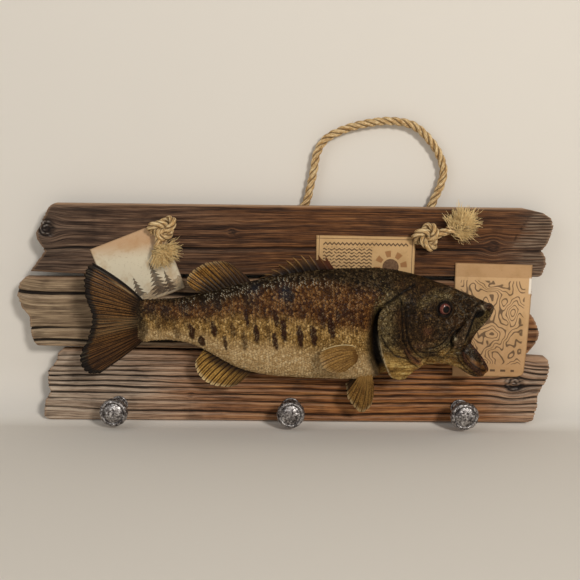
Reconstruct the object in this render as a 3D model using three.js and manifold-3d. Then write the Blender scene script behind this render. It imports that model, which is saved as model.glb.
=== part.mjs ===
// A mounted trophy fish: a black bass on three rough planks, with three coat knobs,
// three paper cards and a knotted rope to hang it by.
// Millimetres. X runs along the board towards the head, Z is up, and the wall is at Y = 0,
// so everything stands out from the wall towards -Y.
import * as THREE from 'three';
import { mergeVertices } from 'three/addons/utils/BufferGeometryUtils.js';
import Module from 'manifold-3d';

const wasm = await Module();
wasm.setup();

// ---------------------------------------------------------------- driving dimensions

const battenThick = 12;
const plankThick = 18;
const boardFront = -(battenThick + plankThick);
const gap = 0.3;                 // left between pieces that touch

const ropeDiameter = 9.4;
const holeRadius = 6;            // through the top plank, for the rope
const leftHole = { x: -138, z: 88 };
const rightHole = { x: 163, z: 89 };

const cardThick = 0.6;
const fishBack = boardFront - 2 * gap - cardThick;     // nothing of the fish lies behind this

const knobSpots = { left: -194, middle: 7, right: 204 };
const knobHeight = -110;

// ---------------------------------------------------------------- materials

function finish(colour, roughness, metalness = 0) {
  return new THREE.MeshStandardMaterial({ color: colour, roughness, metalness });
}

const darkWood = () => finish(0x4b3326, 0.7);
const tanWood = () => finish(0x7a5f47, 0.75);
const greyWood = () => finish(0x84705d, 0.75);
const battenWood = () => finish(0x6e5a48, 0.85);
const paper = () => finish(0xcdb78c, 0.85);
const hemp = () => finish(0xc9a873, 0.9);
const pewter = () => finish(0x77716c, 0.4, 0.85);
const skin = () => finish(0x6b5130, 0.4);
const darkSkin = () => finish(0x33281c, 0.4);
const finSkin = () => finish(0x7d5a2b, 0.45);
const eyeGlass = () => finish(0x8d4038, 0.1);

// ---------------------------------------------------------------- general tools

// A smooth curve y(x) through a few stations, level with the chords on either side.
function through(stations) {
  const n = stations.length;
  const slope = (i) => (stations[i + 1][1] - stations[i][1]) / (stations[i + 1][0] - stations[i][0]);
  const tangent = (i) => {
    if (i === 0) {
      return slope(0);
    }
    if (i === n - 1) {
      return slope(n - 2);
    }
    const before = stations[i][0] - stations[i - 1][0];
    const after = stations[i + 1][0] - stations[i][0];
    return (slope(i - 1) * after + slope(i) * before) / (before + after);
  };
  return (x) => {
    let i = 0;
    while (i < n - 2 && x > stations[i + 1][0]) {
      i += 1;
    }
    const step = stations[i + 1][0] - stations[i][0];
    const t = (x - stations[i][0]) / step;
    const rise = (1 + 2 * t) * (1 - t) ** 2 * stations[i][1] + t * t * (3 - 2 * t) * stations[i + 1][1];
    const lean = t * (1 - t) ** 2 * tangent(i) - t * t * (1 - t) * tangent(i + 1);
    return rise + step * lean;
  };
}

// A closed skin over rings of points that all hold the same count, with a flat cap on each end.
function loft(rings, closedLoop = false) {
  const sides = rings[0].length;
  const positions = rings.flat().flatMap((p) => [p.x, p.y, p.z]);
  const index = [];
  const spans = closedLoop ? rings.length : rings.length - 1;
  for (let i = 0; i < spans; i += 1) {
    const next = (i + 1) % rings.length;
    for (let j = 0; j < sides; j += 1) {
      const k = (j + 1) % sides;
      index.push(i * sides + j, i * sides + k, next * sides + k);
      index.push(i * sides + j, next * sides + k, next * sides + j);
    }
  }
  if (!closedLoop) {
    for (const end of [0, rings.length - 1]) {
      const middle = new THREE.Vector3();
      rings[end].forEach((p) => middle.addScaledVector(p, 1 / sides));
      const hub = positions.length / 3;
      positions.push(middle.x, middle.y, middle.z);
      for (let j = 0; j < sides; j += 1) {
        const a = end * sides + j;
        const b = end * sides + ((j + 1) % sides);
        index.push(...(end === 0 ? [hub, b, a] : [hub, a, b]));
      }
    }
  }
  const geometry = new THREE.BufferGeometry();
  geometry.setAttribute('position', new THREE.Float32BufferAttribute(positions, 3));
  geometry.setIndex(index);
  return geometry;
}

function toSolid(geometry) {
  const bare = geometry.clone();
  bare.deleteAttribute('normal');
  bare.deleteAttribute('uv');
  const merged = mergeVertices(bare, 1e-4);
  const corners = Uint32Array.from(merged.index.array);
  const build = () => {
    const mesh = new wasm.Mesh({
      numProp: 3,
      vertProperties: Float32Array.from(merged.attributes.position.array),
      triVerts: corners,
    });
    mesh.merge();
    return new wasm.Manifold(mesh);
  };
  const solid = build();
  if (solid.volume() > 0) {
    return solid;
  }
  for (let i = 0; i < corners.length; i += 3) {       // rings laid the other way round
    [corners[i], corners[i + 1]] = [corners[i + 1], corners[i]];
  }
  return build();
}

function toGeometry(solid) {
  const mesh = solid.getMesh();
  const geometry = new THREE.BufferGeometry();
  geometry.setAttribute('position', new THREE.Float32BufferAttribute(mesh.vertProperties, 3));
  geometry.setIndex(Array.from(mesh.triVerts));
  return geometry;
}

// An outline in X and Z, as thick as the distance from back to front, with its edges eased.
function slab(points, back, front, ease = 0) {
  const shape = new THREE.Shape(points.map(([x, z]) => new THREE.Vector2(x, z)));
  const geometry = new THREE.ExtrudeGeometry(shape, {
    depth: back - front - 2 * ease,
    bevelEnabled: ease > 0,
    bevelThickness: ease,
    bevelSize: ease,
    bevelOffset: -ease,
    bevelSegments: 1,
  });
  geometry.rotateX(Math.PI / 2);
  geometry.translate(0, back - ease, 0);
  return geometry;
}

// A round bar that follows a curve through the points. Its radii are read along the curve, and
// flat squeezes it towards the board.
function bar(points, radii, sides, steps, { closedLoop = false, flat = 1 } = {}) {
  const curve = new THREE.CatmullRomCurve3(points.map((p) => new THREE.Vector3(...p)), closedLoop);
  const frames = curve.computeFrenetFrames(steps, closedLoop);
  const thickness = through(radii.map((r, i) => [i / (radii.length - 1), r]));
  const rings = [];
  const count = closedLoop ? steps : steps + 1;
  for (let i = 0; i < count; i += 1) {
    const centre = curve.getPointAt(i / steps);
    const radius = thickness(i / steps);
    const ring = [];
    for (let j = 0; j < sides; j += 1) {
      const angle = (2 * Math.PI * j) / sides;
      const arm = frames.normals[i].clone().multiplyScalar(radius * Math.cos(angle));
      arm.addScaledVector(frames.binormals[i], radius * Math.sin(angle));
      arm.y *= flat;
      ring.push(arm.add(centre));
    }
    rings.push(ring);
  }
  return loft(rings, closedLoop);
}

const object = new THREE.Group();

function add(name, geometry, material) {
  const mesh = new THREE.Mesh(geometry, material);
  mesh.name = name;
  object.add(mesh);
}

// ---------------------------------------------------------------- planks and battens

const topPlankOutline = [
  [-264, 124], [-270, 121], [-278, 106], [-286, 90], [-285, 83], [-279, 73], [-277, 69], [-294, 46],
  [-232, 44], [282, 45], [291, 45], [294, 48], [298, 60], [297, 67], [293, 75], [298, 83],
  [303, 97], [304, 104], [299, 113], [290, 119], [274, 123],
];

const middlePlankOutline = [
  [-300, 39], [-307, 32], [-310, 17], [-305, 3], [-297, -6], [-296, -22], [-294, -34], [-289, -41],
  [281, -45], [284, -41], [292, -30], [294, -20], [289, -7], [282, 3], [281, 12], [283, 26],
  [282, 33], [276, 39],
];

const bottomPlankOutline = [
  [-260, -45.5], [-265, -50], [-266, -57], [-271, -65], [-277, -71], [-278, -87], [-275, -96],
  [-281, -106], [-283, -115], [-283, -126], [-278, -129], [288, -127], [292, -124], [296, -109],
  [296, -95], [299, -89], [306, -75], [308, -62], [306, -53], [303, -50], [269, -48],
];

const edgeEase = 1.5;
const boardReach = 330;          // grooves run past both ends of every plank

// A weathered groove: a V cut along the grain that wanders a little.
function groove(z, width, depth, wander, phase) {
  const rings = [];
  const steps = 4;
  for (let i = 0; i <= steps; i += 1) {
    const x = -boardReach + (2 * boardReach * i) / steps;
    const middle = z + wander * Math.sin(phase + (3 * Math.PI * i) / steps);
    rings.push([
      new THREE.Vector3(x, boardFront - 1, middle - width),
      new THREE.Vector3(x, boardFront + depth, middle),
      new THREE.Vector3(x, boardFront - 1, middle + width),
    ]);
  }
  return toSolid(loft(rings));
}

function drilled(solid, holes) {
  return holes.reduce((rest, { x, z }) => {
    const drill = new THREE.CylinderGeometry(holeRadius, holeRadius, 3 * plankThick, 16);
    drill.translate(x, boardFront, z);
    return rest.subtract(toSolid(drill));
  }, solid);
}

function plank(name, outline, grooves, material, holes = []) {
  let wood = toSolid(slab(outline, -battenThick, boardFront, edgeEase));
  grooves.forEach(([z, width, depth], i) => {
    wood = wood.subtract(groove(z, width, depth, 0.9, 1.7 * i));
  });
  add(name, toGeometry(drilled(wood, holes)), material);
}

plank('plank_top', topPlankOutline, [[72, 1.2, 1.2], [100, 1, 0.9]], darkWood(), [leftHole, rightHole]);
plank('plank_middle', middlePlankOutline, [[23, 1.8, 2], [-18, 1.8, 2], [-35, 1.5, 2]], tanWood());

const bottomGrooves = [];
for (let z = -56; z > -120; z -= 7.4) {
  bottomGrooves.push([z, 1.4, 1.8]);
}
plank('plank_bottom', bottomPlankOutline, bottomGrooves, greyWood());

// The battens at the two sides run the board's full height, and the middle one stops below
// the rope.
const battenWidth = 42;
const battens = {
  batten_left: { x: -215, low: -118, high: 112 },
  batten_centre: { x: 0, low: -118, high: 76 },
  batten_right: { x: 222, low: -118, high: 112 },
};
for (const [name, { x, low, high }] of Object.entries(battens)) {
  const wood = new THREE.BoxGeometry(battenWidth, battenThick - gap, high - low);
  wood.translate(x, -(battenThick - gap) / 2, (low + high) / 2);
  add(name, wood, battenWood());
}

// ---------------------------------------------------------------- cards

const cardBack = boardFront - gap;

function card(name, outline, holes = []) {
  const sheet = toSolid(slab(outline, cardBack, cardBack - cardThick));
  add(name, toGeometry(drilled(sheet, holes)), paper());
}

card('card_left', [[-224, 72], [-144, 104], [-115, 29], [-195, -3]], [leftHole]);
card('card_centre', [[34, 91], [147, 90], [146, 28], [34, 29]]);
card('card_right', [[193, 61], [281, 59.5], [281, 12], [279, -40], [277, -66], [271, -71.5], [194, -72]]);

// ---------------------------------------------------------------- coat knobs

// Radius and height over the board, from the rose at the foot to the face of the head.
const knobProfile = [
  [0, 0], [10.4, 0], [10.4, 1.8], [6.4, 6.5], [6, 16], [8, 21], [13.2, 25.5], [16, 31.5],
  [15.4, 36], [12.2, 38.8], [11, 38], [6, 39.6], [0, 40],
];
const knobSides = 14;

for (const [side, x] of Object.entries(knobSpots)) {
  const profile = knobProfile.map(([r, height]) => new THREE.Vector2(r, height));
  const knob = new THREE.LatheGeometry(profile, knobSides);
  knob.rotateX(Math.PI);
  knob.translate(x, boardFront - gap, 0);
  knob.translate(0, 0, knobHeight);
  add(`knob_${side}`, toGeometry(toSolid(knob)), pewter());
}

// ---------------------------------------------------------------- rope, knots and frays

// Behind the board the rope lies in the room that the battens leave.
const ropeBehind = -6;
const ropeRoute = [
  [leftHole.x, boardFront - 1, leftHole.z],
  [leftHole.x, -20, leftHole.z],
  [leftHole.x, -12.6, leftHole.z],
  [leftHole.x + 1.8, -7.9, leftHole.z + 0.4],
  [leftHole.x + 6.5, ropeBehind, leftHole.z + 1.4],
  [-112, ropeBehind, 93],
  [-80, ropeBehind, 99],
  [-45, ropeBehind, 104],
  [-12, ropeBehind, 107],
  [11, ropeBehind, 113],
  [22, ropeBehind, 126],
  [27, ropeBehind, 145],
  [31, ropeBehind, 165],
  [34, ropeBehind, 183],
  [43, ropeBehind, 198],
  [62, ropeBehind, 209],
  [90, ropeBehind, 217],
  [118, ropeBehind, 220],
  [144, ropeBehind, 215],
  [163, ropeBehind, 199],
  [175, ropeBehind, 181],
  [180, ropeBehind, 164],
  [177, ropeBehind, 147],
  [170, ropeBehind, 131],
  [164, ropeBehind, 114],
  [rightHole.x, ropeBehind, rightHole.z + 6.5],
  [rightHole.x, -7.9, rightHole.z + 1.8],
  [rightHole.x, -12.6, rightHole.z],
  [rightHole.x, -20, rightHole.z],
  [rightHole.x, boardFront - 1, rightHole.z],
];

function ropeTube() {
  const section = new THREE.Shape();
  section.absarc(0, 0, ropeDiameter / 2, 0, 2 * Math.PI);
  return new THREE.ExtrudeGeometry(section, {
    curveSegments: 4,            // which makes eight sides
    steps: 52,
    bevelEnabled: false,
    extrudePath: new THREE.CatmullRomCurve3(ropeRoute.map((p) => new THREE.Vector3(...p))),
  });
}

add('rope', ropeTube(), hemp());

// An overhand knot: three lobes of rope round the hole. The lobes are as far apart in depth as
// the rope is thick. tilt turns the knot on the board's face, and squash makes it lower.
const knotLift = ropeDiameter * 0.54;

function knotPoint(turn, { tilt, wide, tall }) {
  const u = wide * (Math.sin(turn) + 2 * Math.sin(2 * turn));
  const v = tall * (Math.cos(turn) - 2 * Math.cos(2 * turn));
  return {
    x: u * Math.cos(tilt) - v * Math.sin(tilt),
    y: -knotLift * Math.sin(3 * turn),
    z: u * Math.sin(tilt) + v * Math.cos(tilt),
  };
}

function knot(name, centre, form, tail) {
  const points = [];
  const count = 18;
  for (let i = 0; i < count; i += 1) {
    const { x, y, z } = knotPoint((2 * Math.PI * i) / count, form);
    points.push([centre[0] + x, centre[1] + y, centre[2] + z]);
  }
  const radius = 0.95 * ropeDiameter / 2;     // the rope is drawn a little thinner in the knot
  const loop = toSolid(bar(points, [radius, radius], 6, 26, { closedLoop: true }));
  const end = toSolid(bar(tail, [radius, radius], 6, 2));
  add(name, toGeometry(loop.add(end)), hemp());
}

const knotCentreY = boardFront - gap - 1.2 - ropeDiameter;
const leftKnot = [-139, knotCentreY, 98];
const rightKnot = [158, knotCentreY, 91];
const tailY = knotCentreY - 2;
const leftTail = [[-138, knotCentreY, 100], [-139.5, tailY - 1, 90], [-138.5, tailY, 80]];
const rightTail = [[160, knotCentreY, 88], [172, tailY, 95], [186, tailY, 100]];
knot('knot_left', leftKnot, { tilt: 0.35, wide: 5, tall: 3.3 }, leftTail);
knot('knot_right', rightKnot, { tilt: 0.55, wide: 4.2, tall: 4.4 }, rightTail);

// Each end is teased out into a brush that opens away from its knot.
function fray(name, start, end, spread) {
  const from = new THREE.Vector3(...start);
  const along = new THREE.Vector3(...end).sub(from);
  const points = [0, 0.35, 0.7, 1].map((t) => from.clone().addScaledVector(along, t).toArray());
  const radii = [ropeDiameter / 2, spread * 0.8, spread, spread * 0.8];
  add(name, bar(points, radii, 12, 5, { flat: 0.62 }), hemp());
}

fray('fray_left', [-138.2, tailY, 78.3], [-134, knotCentreY, 51], 16);
fray('fray_right', [187.7, tailY, 100.6], [219, knotCentreY, 112.5], 15);

// ---------------------------------------------------------------- body of the fish

const tailEnd = -166;
const gillEnd = 105;
const snoutEnd = 221;

// The middle plane's height over the board: the body lies on the board, and the head and the
// tail both swing out from it.
const midHeight = through([
  [-232, 52], [-165, 40], [-130, 35.5], [-100, 32.5], [-60, 29.5], [0, 27.5],
  [60, 27], [108, 28], [150, 30.5], [180, 34], [200, 38.5], [228, 49],
]);

const backLine = through([
  [-170, 24], [-150, 21], [-116, 23], [-88, 28.5], [-60, 36], [-28, 43.5], [0, 49.5], [30, 54],
  [71, 56.5], [108, 57], [127, 55], [145, 51], [163, 45], [181, 39.5], [199, 32], [217, 24.5], [228, 20],
]);

const bellyLine = through([
  [-170, -29], [-150, -25.5], [-131, -24.5], [-100, -31], [-83, -40], [-53, -56.5], [-31, -62.5],
  [-9, -65.8], [12, -67], [51, -68.3], [86, -67.8], [105, -65], [125, -58], [145, -52], [170, -46],
]);

// In front of the throat the head's lower edge climbs along the open mouth.
const headLowLine = through([
  [100, -65.5], [125, -58], [145, -52.5], [162, -50.5], [173, -48], [181, -42], [188, -31],
  [197, -14], [204, 0], [211, 8.5], [221, 14], [230, 17],
]);

const halfWidth = through([
  [-172, 6], [-150, 8.5], [-116, 13.5], [-88, 19], [-60, 24.5], [-28, 29.5], [0, 32], [45, 33.5],
  [90, 33.5], [125, 31.5], [150, 29], [172, 25.5], [190, 21], [205, 17], [216, 12], [228, 6],
]);

// Which way the middle plane faces at x: its turn out of the board's own plane.
function turnAt(x) {
  return Math.atan2(midHeight(x + 1) - midHeight(x - 1), 2);
}

// From the fish's own measures to the board's frame: x along the fish, side towards the viewer.
function place(x, side, z) {
  const turn = turnAt(x);
  const y = boardFront - midHeight(x) - side * Math.cos(turn);
  return new THREE.Vector3(x - side * Math.sin(turn), Math.min(y, fishBack), z);
}

const sectionPower = 2.25;

// One section of the body; grow swells it on every side.
function section(x, lowLine, grow = 0, sides = 20) {
  const top = backLine(x) + grow;
  const low = lowLine(x) - grow;
  const middle = (top + low) / 2 + 0.03 * (top - low);
  const wide = halfWidth(x) + grow;
  const ring = [];
  for (let j = 0; j < sides; j += 1) {
    const angle = (2 * Math.PI * j) / sides;
    const across = Math.cos(angle);
    const up = Math.sin(angle);
    const side = wide * Math.sign(across) * Math.abs(across) ** (2 / sectionPower);
    const reach = up > 0 ? top - middle : middle - low;
    const z = middle + reach * Math.sign(up) * Math.abs(up) ** (2 / sectionPower);
    ring.push(place(x, side, z));
  }
  return ring;
}

function bodyLength(from, to, steps, lowLine, grow = 0) {
  const rings = [];
  for (let i = 0; i <= steps; i += 1) {
    rings.push(section(from + ((to - from) * i) / steps, lowLine, grow));
  }
  return toSolid(loft(rings));
}

const stalkEnd = -104;
const trunkSplit = 0;
const tailStalk = bodyLength(tailEnd, stalkEnd - gap, 5, bellyLine);
const trunkRear = bodyLength(stalkEnd, trunkSplit - gap, 7, bellyLine);
const trunkFront = bodyLength(trunkSplit, gillEnd - gap, 6, bellyLine);
const fleshAround = bodyLength(tailEnd - 2, gillEnd + 20, 26, bellyLine, gap + 0.05);

add('tail_stalk', toGeometry(tailStalk), skin());
add('trunk_rear', toGeometry(trunkRear), skin());
add('trunk_front', toGeometry(trunkFront), skin());

// ---------------------------------------------------------------- head

// Near-side lip, round the snout, to the far corner of the mouth.
const lipRoute = [
  [185, -87.5, -25], [188, -90, -12], [197, -91, 0], [207, -89, 10.5], [216.5, -84, 18.5],
  [225, -77.5, 19], [226.5, -72, 12], [223.5, -67, -1], [216.5, -64, -14], [208.5, -62.5, -23],
];
const lipRadii = [5.2, 5.4, 4.6, 4, 3.8, 3.7, 3.4, 3, 2.8, 2.6];

const upperLip = toSolid(bar(lipRoute, lipRadii, 8, 22));
const upperLipRoom = toSolid(bar(lipRoute, lipRadii.map((r) => r + gap), 8, 22));

// Eyeballs sit in sockets on both sides of the head.
const eyeAt = { x: 176.5, z: 17 };
const eyeRadius = 7.6;
const eyeDepth = 3.4;            // of the ball's centre under the skin

function eyeCentre(side) {
  const ring = section(eyeAt.x, headLowLine, 0, 120);
  const sameSide = ring.filter((p) => Math.sign(side) === Math.sign(boardFront - midHeight(eyeAt.x) - p.y));
  const nearest = sameSide.reduce((a, b) => (Math.abs(a.z - eyeAt.z) < Math.abs(b.z - eyeAt.z) ? a : b));
  return nearest.clone().add(new THREE.Vector3(0, side * eyeDepth, 0));
}

function ball(centre, radius) {
  const sphere = new THREE.SphereGeometry(radius, 12, 8);
  sphere.translate(centre.x, centre.y, centre.z);
  return toSolid(sphere);
}

const nearEye = eyeCentre(1);
const farEye = eyeCentre(-1);
let head = bodyLength(gillEnd, snoutEnd, 14, headLowLine);
head = head.subtract(upperLipRoom);
head = head.subtract(ball(nearEye, eyeRadius + gap)).subtract(ball(farEye, eyeRadius + gap));

add('head', toGeometry(head), darkSkin());
add('upper_jaw', toGeometry(upperLip), darkSkin());
add('eye_near', toGeometry(ball(nearEye, eyeRadius)), eyeGlass());
add('eye_far', toGeometry(ball(farEye, eyeRadius)), eyeGlass());

// The lower jaw is a scoop. Each station gives, in this order, its near rim, its far rim, its
// keel and its floor.
const jawStations = [
  [[173, -76, -38], [178, -58, -38], [170, -66, -49], [174, -67, -40]],
  [[189.5, -88, -32], [208.5, -61.5, -27.5], [187, -67, -54.5], [199, -73, -36]],
  [[194.5, -86, -43], [216, -62, -33.5], [200, -67.5, -58], [204.5, -73, -45]],
  [[201.5, -83.5, -51.5], [222.5, -65.5, -41.5], [210, -68.5, -61], [212, -73, -51.5]],
  [[209.5, -80, -57], [226.5, -69, -50.5], [217.5, -70.5, -62], [218.5, -74, -56]],
  [[218, -76, -60], [224.5, -72.5, -57.5], [221, -72, -62.3], [221.3, -74, -58.6]],
];
const rimWidth = 2.4;

function jawRing(station) {
  const [near, far, keel, floor] = station.map((p) => new THREE.Vector3(...p));
  const inward = far.clone().sub(near).normalize().multiplyScalar(rimWidth);
  const innerNear = near.clone().add(inward);
  const innerFar = far.clone().sub(inward);
  const bend = (a, b, c, t) => {
    const pull = b.clone().multiplyScalar(2).addScaledVector(a, -0.5).addScaledVector(c, -0.5);
    return a.clone().multiplyScalar((1 - t) ** 2)
      .addScaledVector(pull, 2 * t * (1 - t))
      .addScaledVector(c, t * t);
  };
  const ring = [];
  for (const t of [0, 0.2, 0.4, 0.6, 0.8, 1]) {
    ring.push(bend(innerNear, floor, innerFar, t));
  }
  for (const t of [0, 0.17, 0.33, 0.5, 0.67, 0.83, 1]) {
    ring.push(bend(far, keel, near, t));
  }
  return ring;
}

let lowerJaw = toSolid(loft(jawStations.map(jawRing).reverse()));
const headRoom = bodyLength(gillEnd, snoutEnd, 14, headLowLine, gap);
lowerJaw = lowerJaw.subtract(headRoom).subtract(upperLipRoom);
add('lower_jaw', toGeometry(lowerJaw), skin());

// The gill cover is a leaf of bone over the cheek, with its soft flap hanging under the throat.
const gillOutline = [
  [128, 44], [120, 31], [113, 23], [103, 14], [101, -3], [102.5, -18], [106, -33], [112.5, -50],
  [120, -64], [128, -67.5], [136.5, -66], [146, -53.5], [153, -44.5], [149, -25], [146, 0], [142, 25],
];
const gillBelly = through([[95, -70], [110, -71], [128, -70], [140, -66], [160, -56]]);
const coverThick = 2.6;

function gillCover() {
  const leaf = bodyLength(gillEnd - 12, 160, 7, gillBelly, coverThick);
  const cheek = bodyLength(gillEnd, snoutEnd, 14, headLowLine, gap);
  const outline = slab(gillOutline, boardFront - midHeight(gillEnd) + 2, boardFront - 90);
  return leaf.subtract(cheek).subtract(fleshAround).intersect(toSolid(outline));
}

add('gill_cover', toGeometry(gillCover()), darkSkin());

// ---------------------------------------------------------------- fins

// A fin spans from its base to its edge. Both curves run the same way and take the same number
// of rays, and the leaf is thick at the base and thin at the edge.
function fin(name, base, edge, { baseThick, edgeThick, rays, bow = 0, facing = [0, -1, 0] }) {
  const baseCurve = new THREE.CatmullRomCurve3(base.map((p) => new THREE.Vector3(...p)));
  const edgeCurve = new THREE.CatmullRomCurve3(edge.map((p) => new THREE.Vector3(...p)));
  const out = new THREE.Vector3(...facing).normalize();
  const rows = 3;
  const rings = [];
  for (let i = 0; i <= rays; i += 1) {
    const root = baseCurve.getPointAt(i / rays);
    const tip = edgeCurve.getPointAt(i / rays);
    const ray = tip.clone().sub(root);
    const sideways = ray.clone().cross(out).normalize();
    const front = [];
    const back = [];
    for (let j = 0; j <= rows; j += 1) {
      const t = j / rows;
      const point = root.clone().addScaledVector(ray, t);
      point.addScaledVector(sideways, bow * (2 * i / rays - 1) * Math.sin(Math.PI * t));
      const half = (baseThick + (edgeThick - baseThick) * t) / 2;
      front.push(point.clone().addScaledVector(out, half));
      back.unshift(point.clone().addScaledVector(out, -half));
    }
    rings.push([...front, ...back]);
  }
  add(name, toGeometry(toSolid(loft(rings)).subtract(fleshAround)), finSkin());
}

// A point on the middle plane of the fish.
function onPlane([x, z]) {
  return [x, boardFront - midHeight(x), z];
}

function alongBack(from, to, sink) {
  return [0, 0.25, 0.5, 0.75, 1].map((t) => {
    const x = from + (to - from) * t;
    return onPlane([x, backLine(x) - sink]);
  });
}

function alongBelly(from, to, sink) {
  return [0, 0.25, 0.5, 0.75, 1].map((t) => {
    const x = from + (to - from) * t;
    return onPlane([x, bellyLine(x) + sink]);
  });
}

const rootSink = 1.2;

fin(
  'tail_fin',
  [[-166.6, 21], [-166.4, 10], [-166.4, -3], [-166.4, -16], [-166.6, -27]].map(onPlane),
  [
    [-207, 64], [-214.5, 60.5], [-220, 48], [-221.5, 33], [-217.5, 16.5], [-213.5, 5], [-214.5, -4],
    [-219, -15], [-225.5, -30], [-227.5, -45], [-221.5, -56.5], [-210.5, -62.5],
  ].map(onPlane),
  { baseThick: 4, edgeThick: 1, rays: 16, bow: 5 },
);

fin(
  'dorsal_fin_soft',
  alongBack(-38, -106, rootSink),
  [
    [-38, 43.5], [-43, 46.5], [-52, 54], [-65, 62], [-80, 64], [-94, 59.5], [-105, 52], [-110, 43],
  ].map(onPlane),
  { baseThick: 2.4, edgeThick: 0.8, rays: 12 },
);

fin(
  'dorsal_fin_spiny',
  alongBack(56, -28, rootSink),
  [
    [55, 57.5], [47.5, 68.5], [42, 70.2], [32, 71.4], [13, 70.6], [0, 64.6], [-10, 57.5], [-20, 52],
    [-28, 47.5],
  ].map(onPlane),
  { baseThick: 2.6, edgeThick: 0.9, rays: 12 },
);

fin(
  'anal_fin',
  alongBelly(-32, -92, rootSink),
  [
    [-34, -66.5], [-46, -67.5], [-56, -68], [-63, -75.5], [-74, -80], [-86, -78.5], [-97, -70.5],
    [-101.5, -61], [-100, -49.5], [-94, -41.5],
  ].map(onPlane),
  { baseThick: 2.4, edgeThick: 0.8, rays: 12 },
);

const pectoralRoot = { x: 80, high: -26, low: -41, y: boardFront - 56 };

fin(
  'pectoral_fin',
  [
    [pectoralRoot.x, pectoralRoot.y, pectoralRoot.high],
    [pectoralRoot.x + 1, pectoralRoot.y, (pectoralRoot.high + pectoralRoot.low) / 2],
    [pectoralRoot.x, pectoralRoot.y, pectoralRoot.low],
  ],
  [
    [62, -99, -22.5], [52, -102, -22.5], [43, -104, -26], [36, -105, -32], [38, -104.5, -41],
    [48.5, -102, -51.5], [57, -100, -55], [70, -96, -52.5],
  ],
  { baseThick: 2.4, edgeThick: 0.8, rays: 12, facing: [-0.2, -1, 0.1] },
);

fin(
  'pelvic_fin_near',
  [[84, -71, -61.5], [90, -71.5, -61], [97, -72, -60.5]],
  [
    [76, -69, -71.5], [69.5, -66, -83], [75.5, -62, -98], [85.5, -60, -108], [90, -60, -108],
    [96.5, -61, -101.5], [99.5, -64, -91], [99.5, -68, -75],
  ],
  { baseThick: 2.4, edgeThick: 0.8, rays: 10, facing: [0.1, -1, -0.25] },
);

fin(
  'pelvic_fin_far',
  [[82, -48, -63.5], [90, -48, -63.5], [98, -48, -62.5]],
  [
    [74, -46, -70], [69.5, -43, -79], [72.5, -39, -90], [80, -37, -97], [90, -37, -98],
    [98, -39, -94], [101.5, -42, -86], [100, -46, -74],
  ],
  { baseThick: 2.2, edgeThick: 0.8, rays: 10, facing: [0.1, -1, -0.25] },
);

export default object;
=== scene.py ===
# A mounted trophy fish on three rough planks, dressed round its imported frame.
# X runs along the board to the head, Z is up, and the wall is at Y = 0 behind the board.
import math
import bmesh
import bpy
import numpy as np
from mathutils import Matrix, Vector


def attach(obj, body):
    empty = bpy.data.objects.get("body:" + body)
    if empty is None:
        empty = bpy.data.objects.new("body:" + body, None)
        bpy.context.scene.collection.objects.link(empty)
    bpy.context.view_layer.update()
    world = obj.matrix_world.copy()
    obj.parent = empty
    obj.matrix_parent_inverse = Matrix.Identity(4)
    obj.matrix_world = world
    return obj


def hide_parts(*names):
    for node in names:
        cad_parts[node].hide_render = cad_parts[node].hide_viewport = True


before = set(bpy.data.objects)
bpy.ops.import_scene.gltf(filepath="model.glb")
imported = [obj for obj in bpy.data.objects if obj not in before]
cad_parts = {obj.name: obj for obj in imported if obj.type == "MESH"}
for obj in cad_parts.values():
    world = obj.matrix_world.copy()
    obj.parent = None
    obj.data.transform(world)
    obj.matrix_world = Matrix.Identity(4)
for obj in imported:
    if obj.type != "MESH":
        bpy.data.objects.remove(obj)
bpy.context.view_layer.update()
scene = bpy.context.scene
mm = 0.001

# ---- camera

cameraView = {
    "place": (0.00767, -1.070, 0.1875),
    "right": (0.99995, 0.00431, 0.00949),
    "up": (-0.01003, 0.15209, 0.98832),
    "forward": (-0.00282, 0.98836, -0.15212),
    "lens": 56.9, "sensor": 36,
}
camera = bpy.data.objects.new("camera", bpy.data.cameras.new("camera"))
camera.data.lens = cameraView["lens"]
camera.data.sensor_width = cameraView["sensor"]
axes = Matrix([cameraView["right"], cameraView["up"], -Vector(cameraView["forward"])]).transposed()
camera.matrix_world = Matrix.Translation(cameraView["place"]) @ axes.to_4x4()
scene.collection.objects.link(camera)
scene.camera = camera
scene.view_settings.view_transform = "Standard"

# ---- shader tools


def tint(code):
    # a hex colour such as "7a5f47" as Blender's linear RGBA
    parts = [int(code[i:i + 2], 16) / 255 for i in (0, 2, 4)]
    return [c / 12.92 if c < 0.04045 else ((c + 0.055) / 1.055) ** 2.4 for c in parts] + [1]


class Wire:
    # one socket of a material, so that shader maths reads as Python
    def __init__(self, paint, socket):
        self.paint = paint
        self.socket = socket

    def join(self, operation, other=0, flip=False):
        pair = (other, self) if flip else (self, other)
        return self.paint.node("Math", {"operation": operation}, dict(enumerate(pair)))

    def __add__(self, other):
        return self.join("ADD", other)

    def __radd__(self, other):
        return self.join("ADD", other, True)

    def __sub__(self, other):
        return self.join("SUBTRACT", other)

    def __rsub__(self, other):
        return self.join("SUBTRACT", other, True)

    def __mul__(self, other):
        return self.join("MULTIPLY", other)

    def __rmul__(self, other):
        return self.join("MULTIPLY", other, True)

    def __truediv__(self, other):
        return self.join("DIVIDE", other)

    def __rtruediv__(self, other):
        return self.join("DIVIDE", other, True)

    def __abs__(self):
        return self.join("ABSOLUTE")

    def step(self, low, high):
        # 0 below low, 1 above high, smooth between
        return self.paint.node("MapRange", {"interpolation_type": "SMOOTHSTEP"}, {0: self, 1: low, 2: high})


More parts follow.
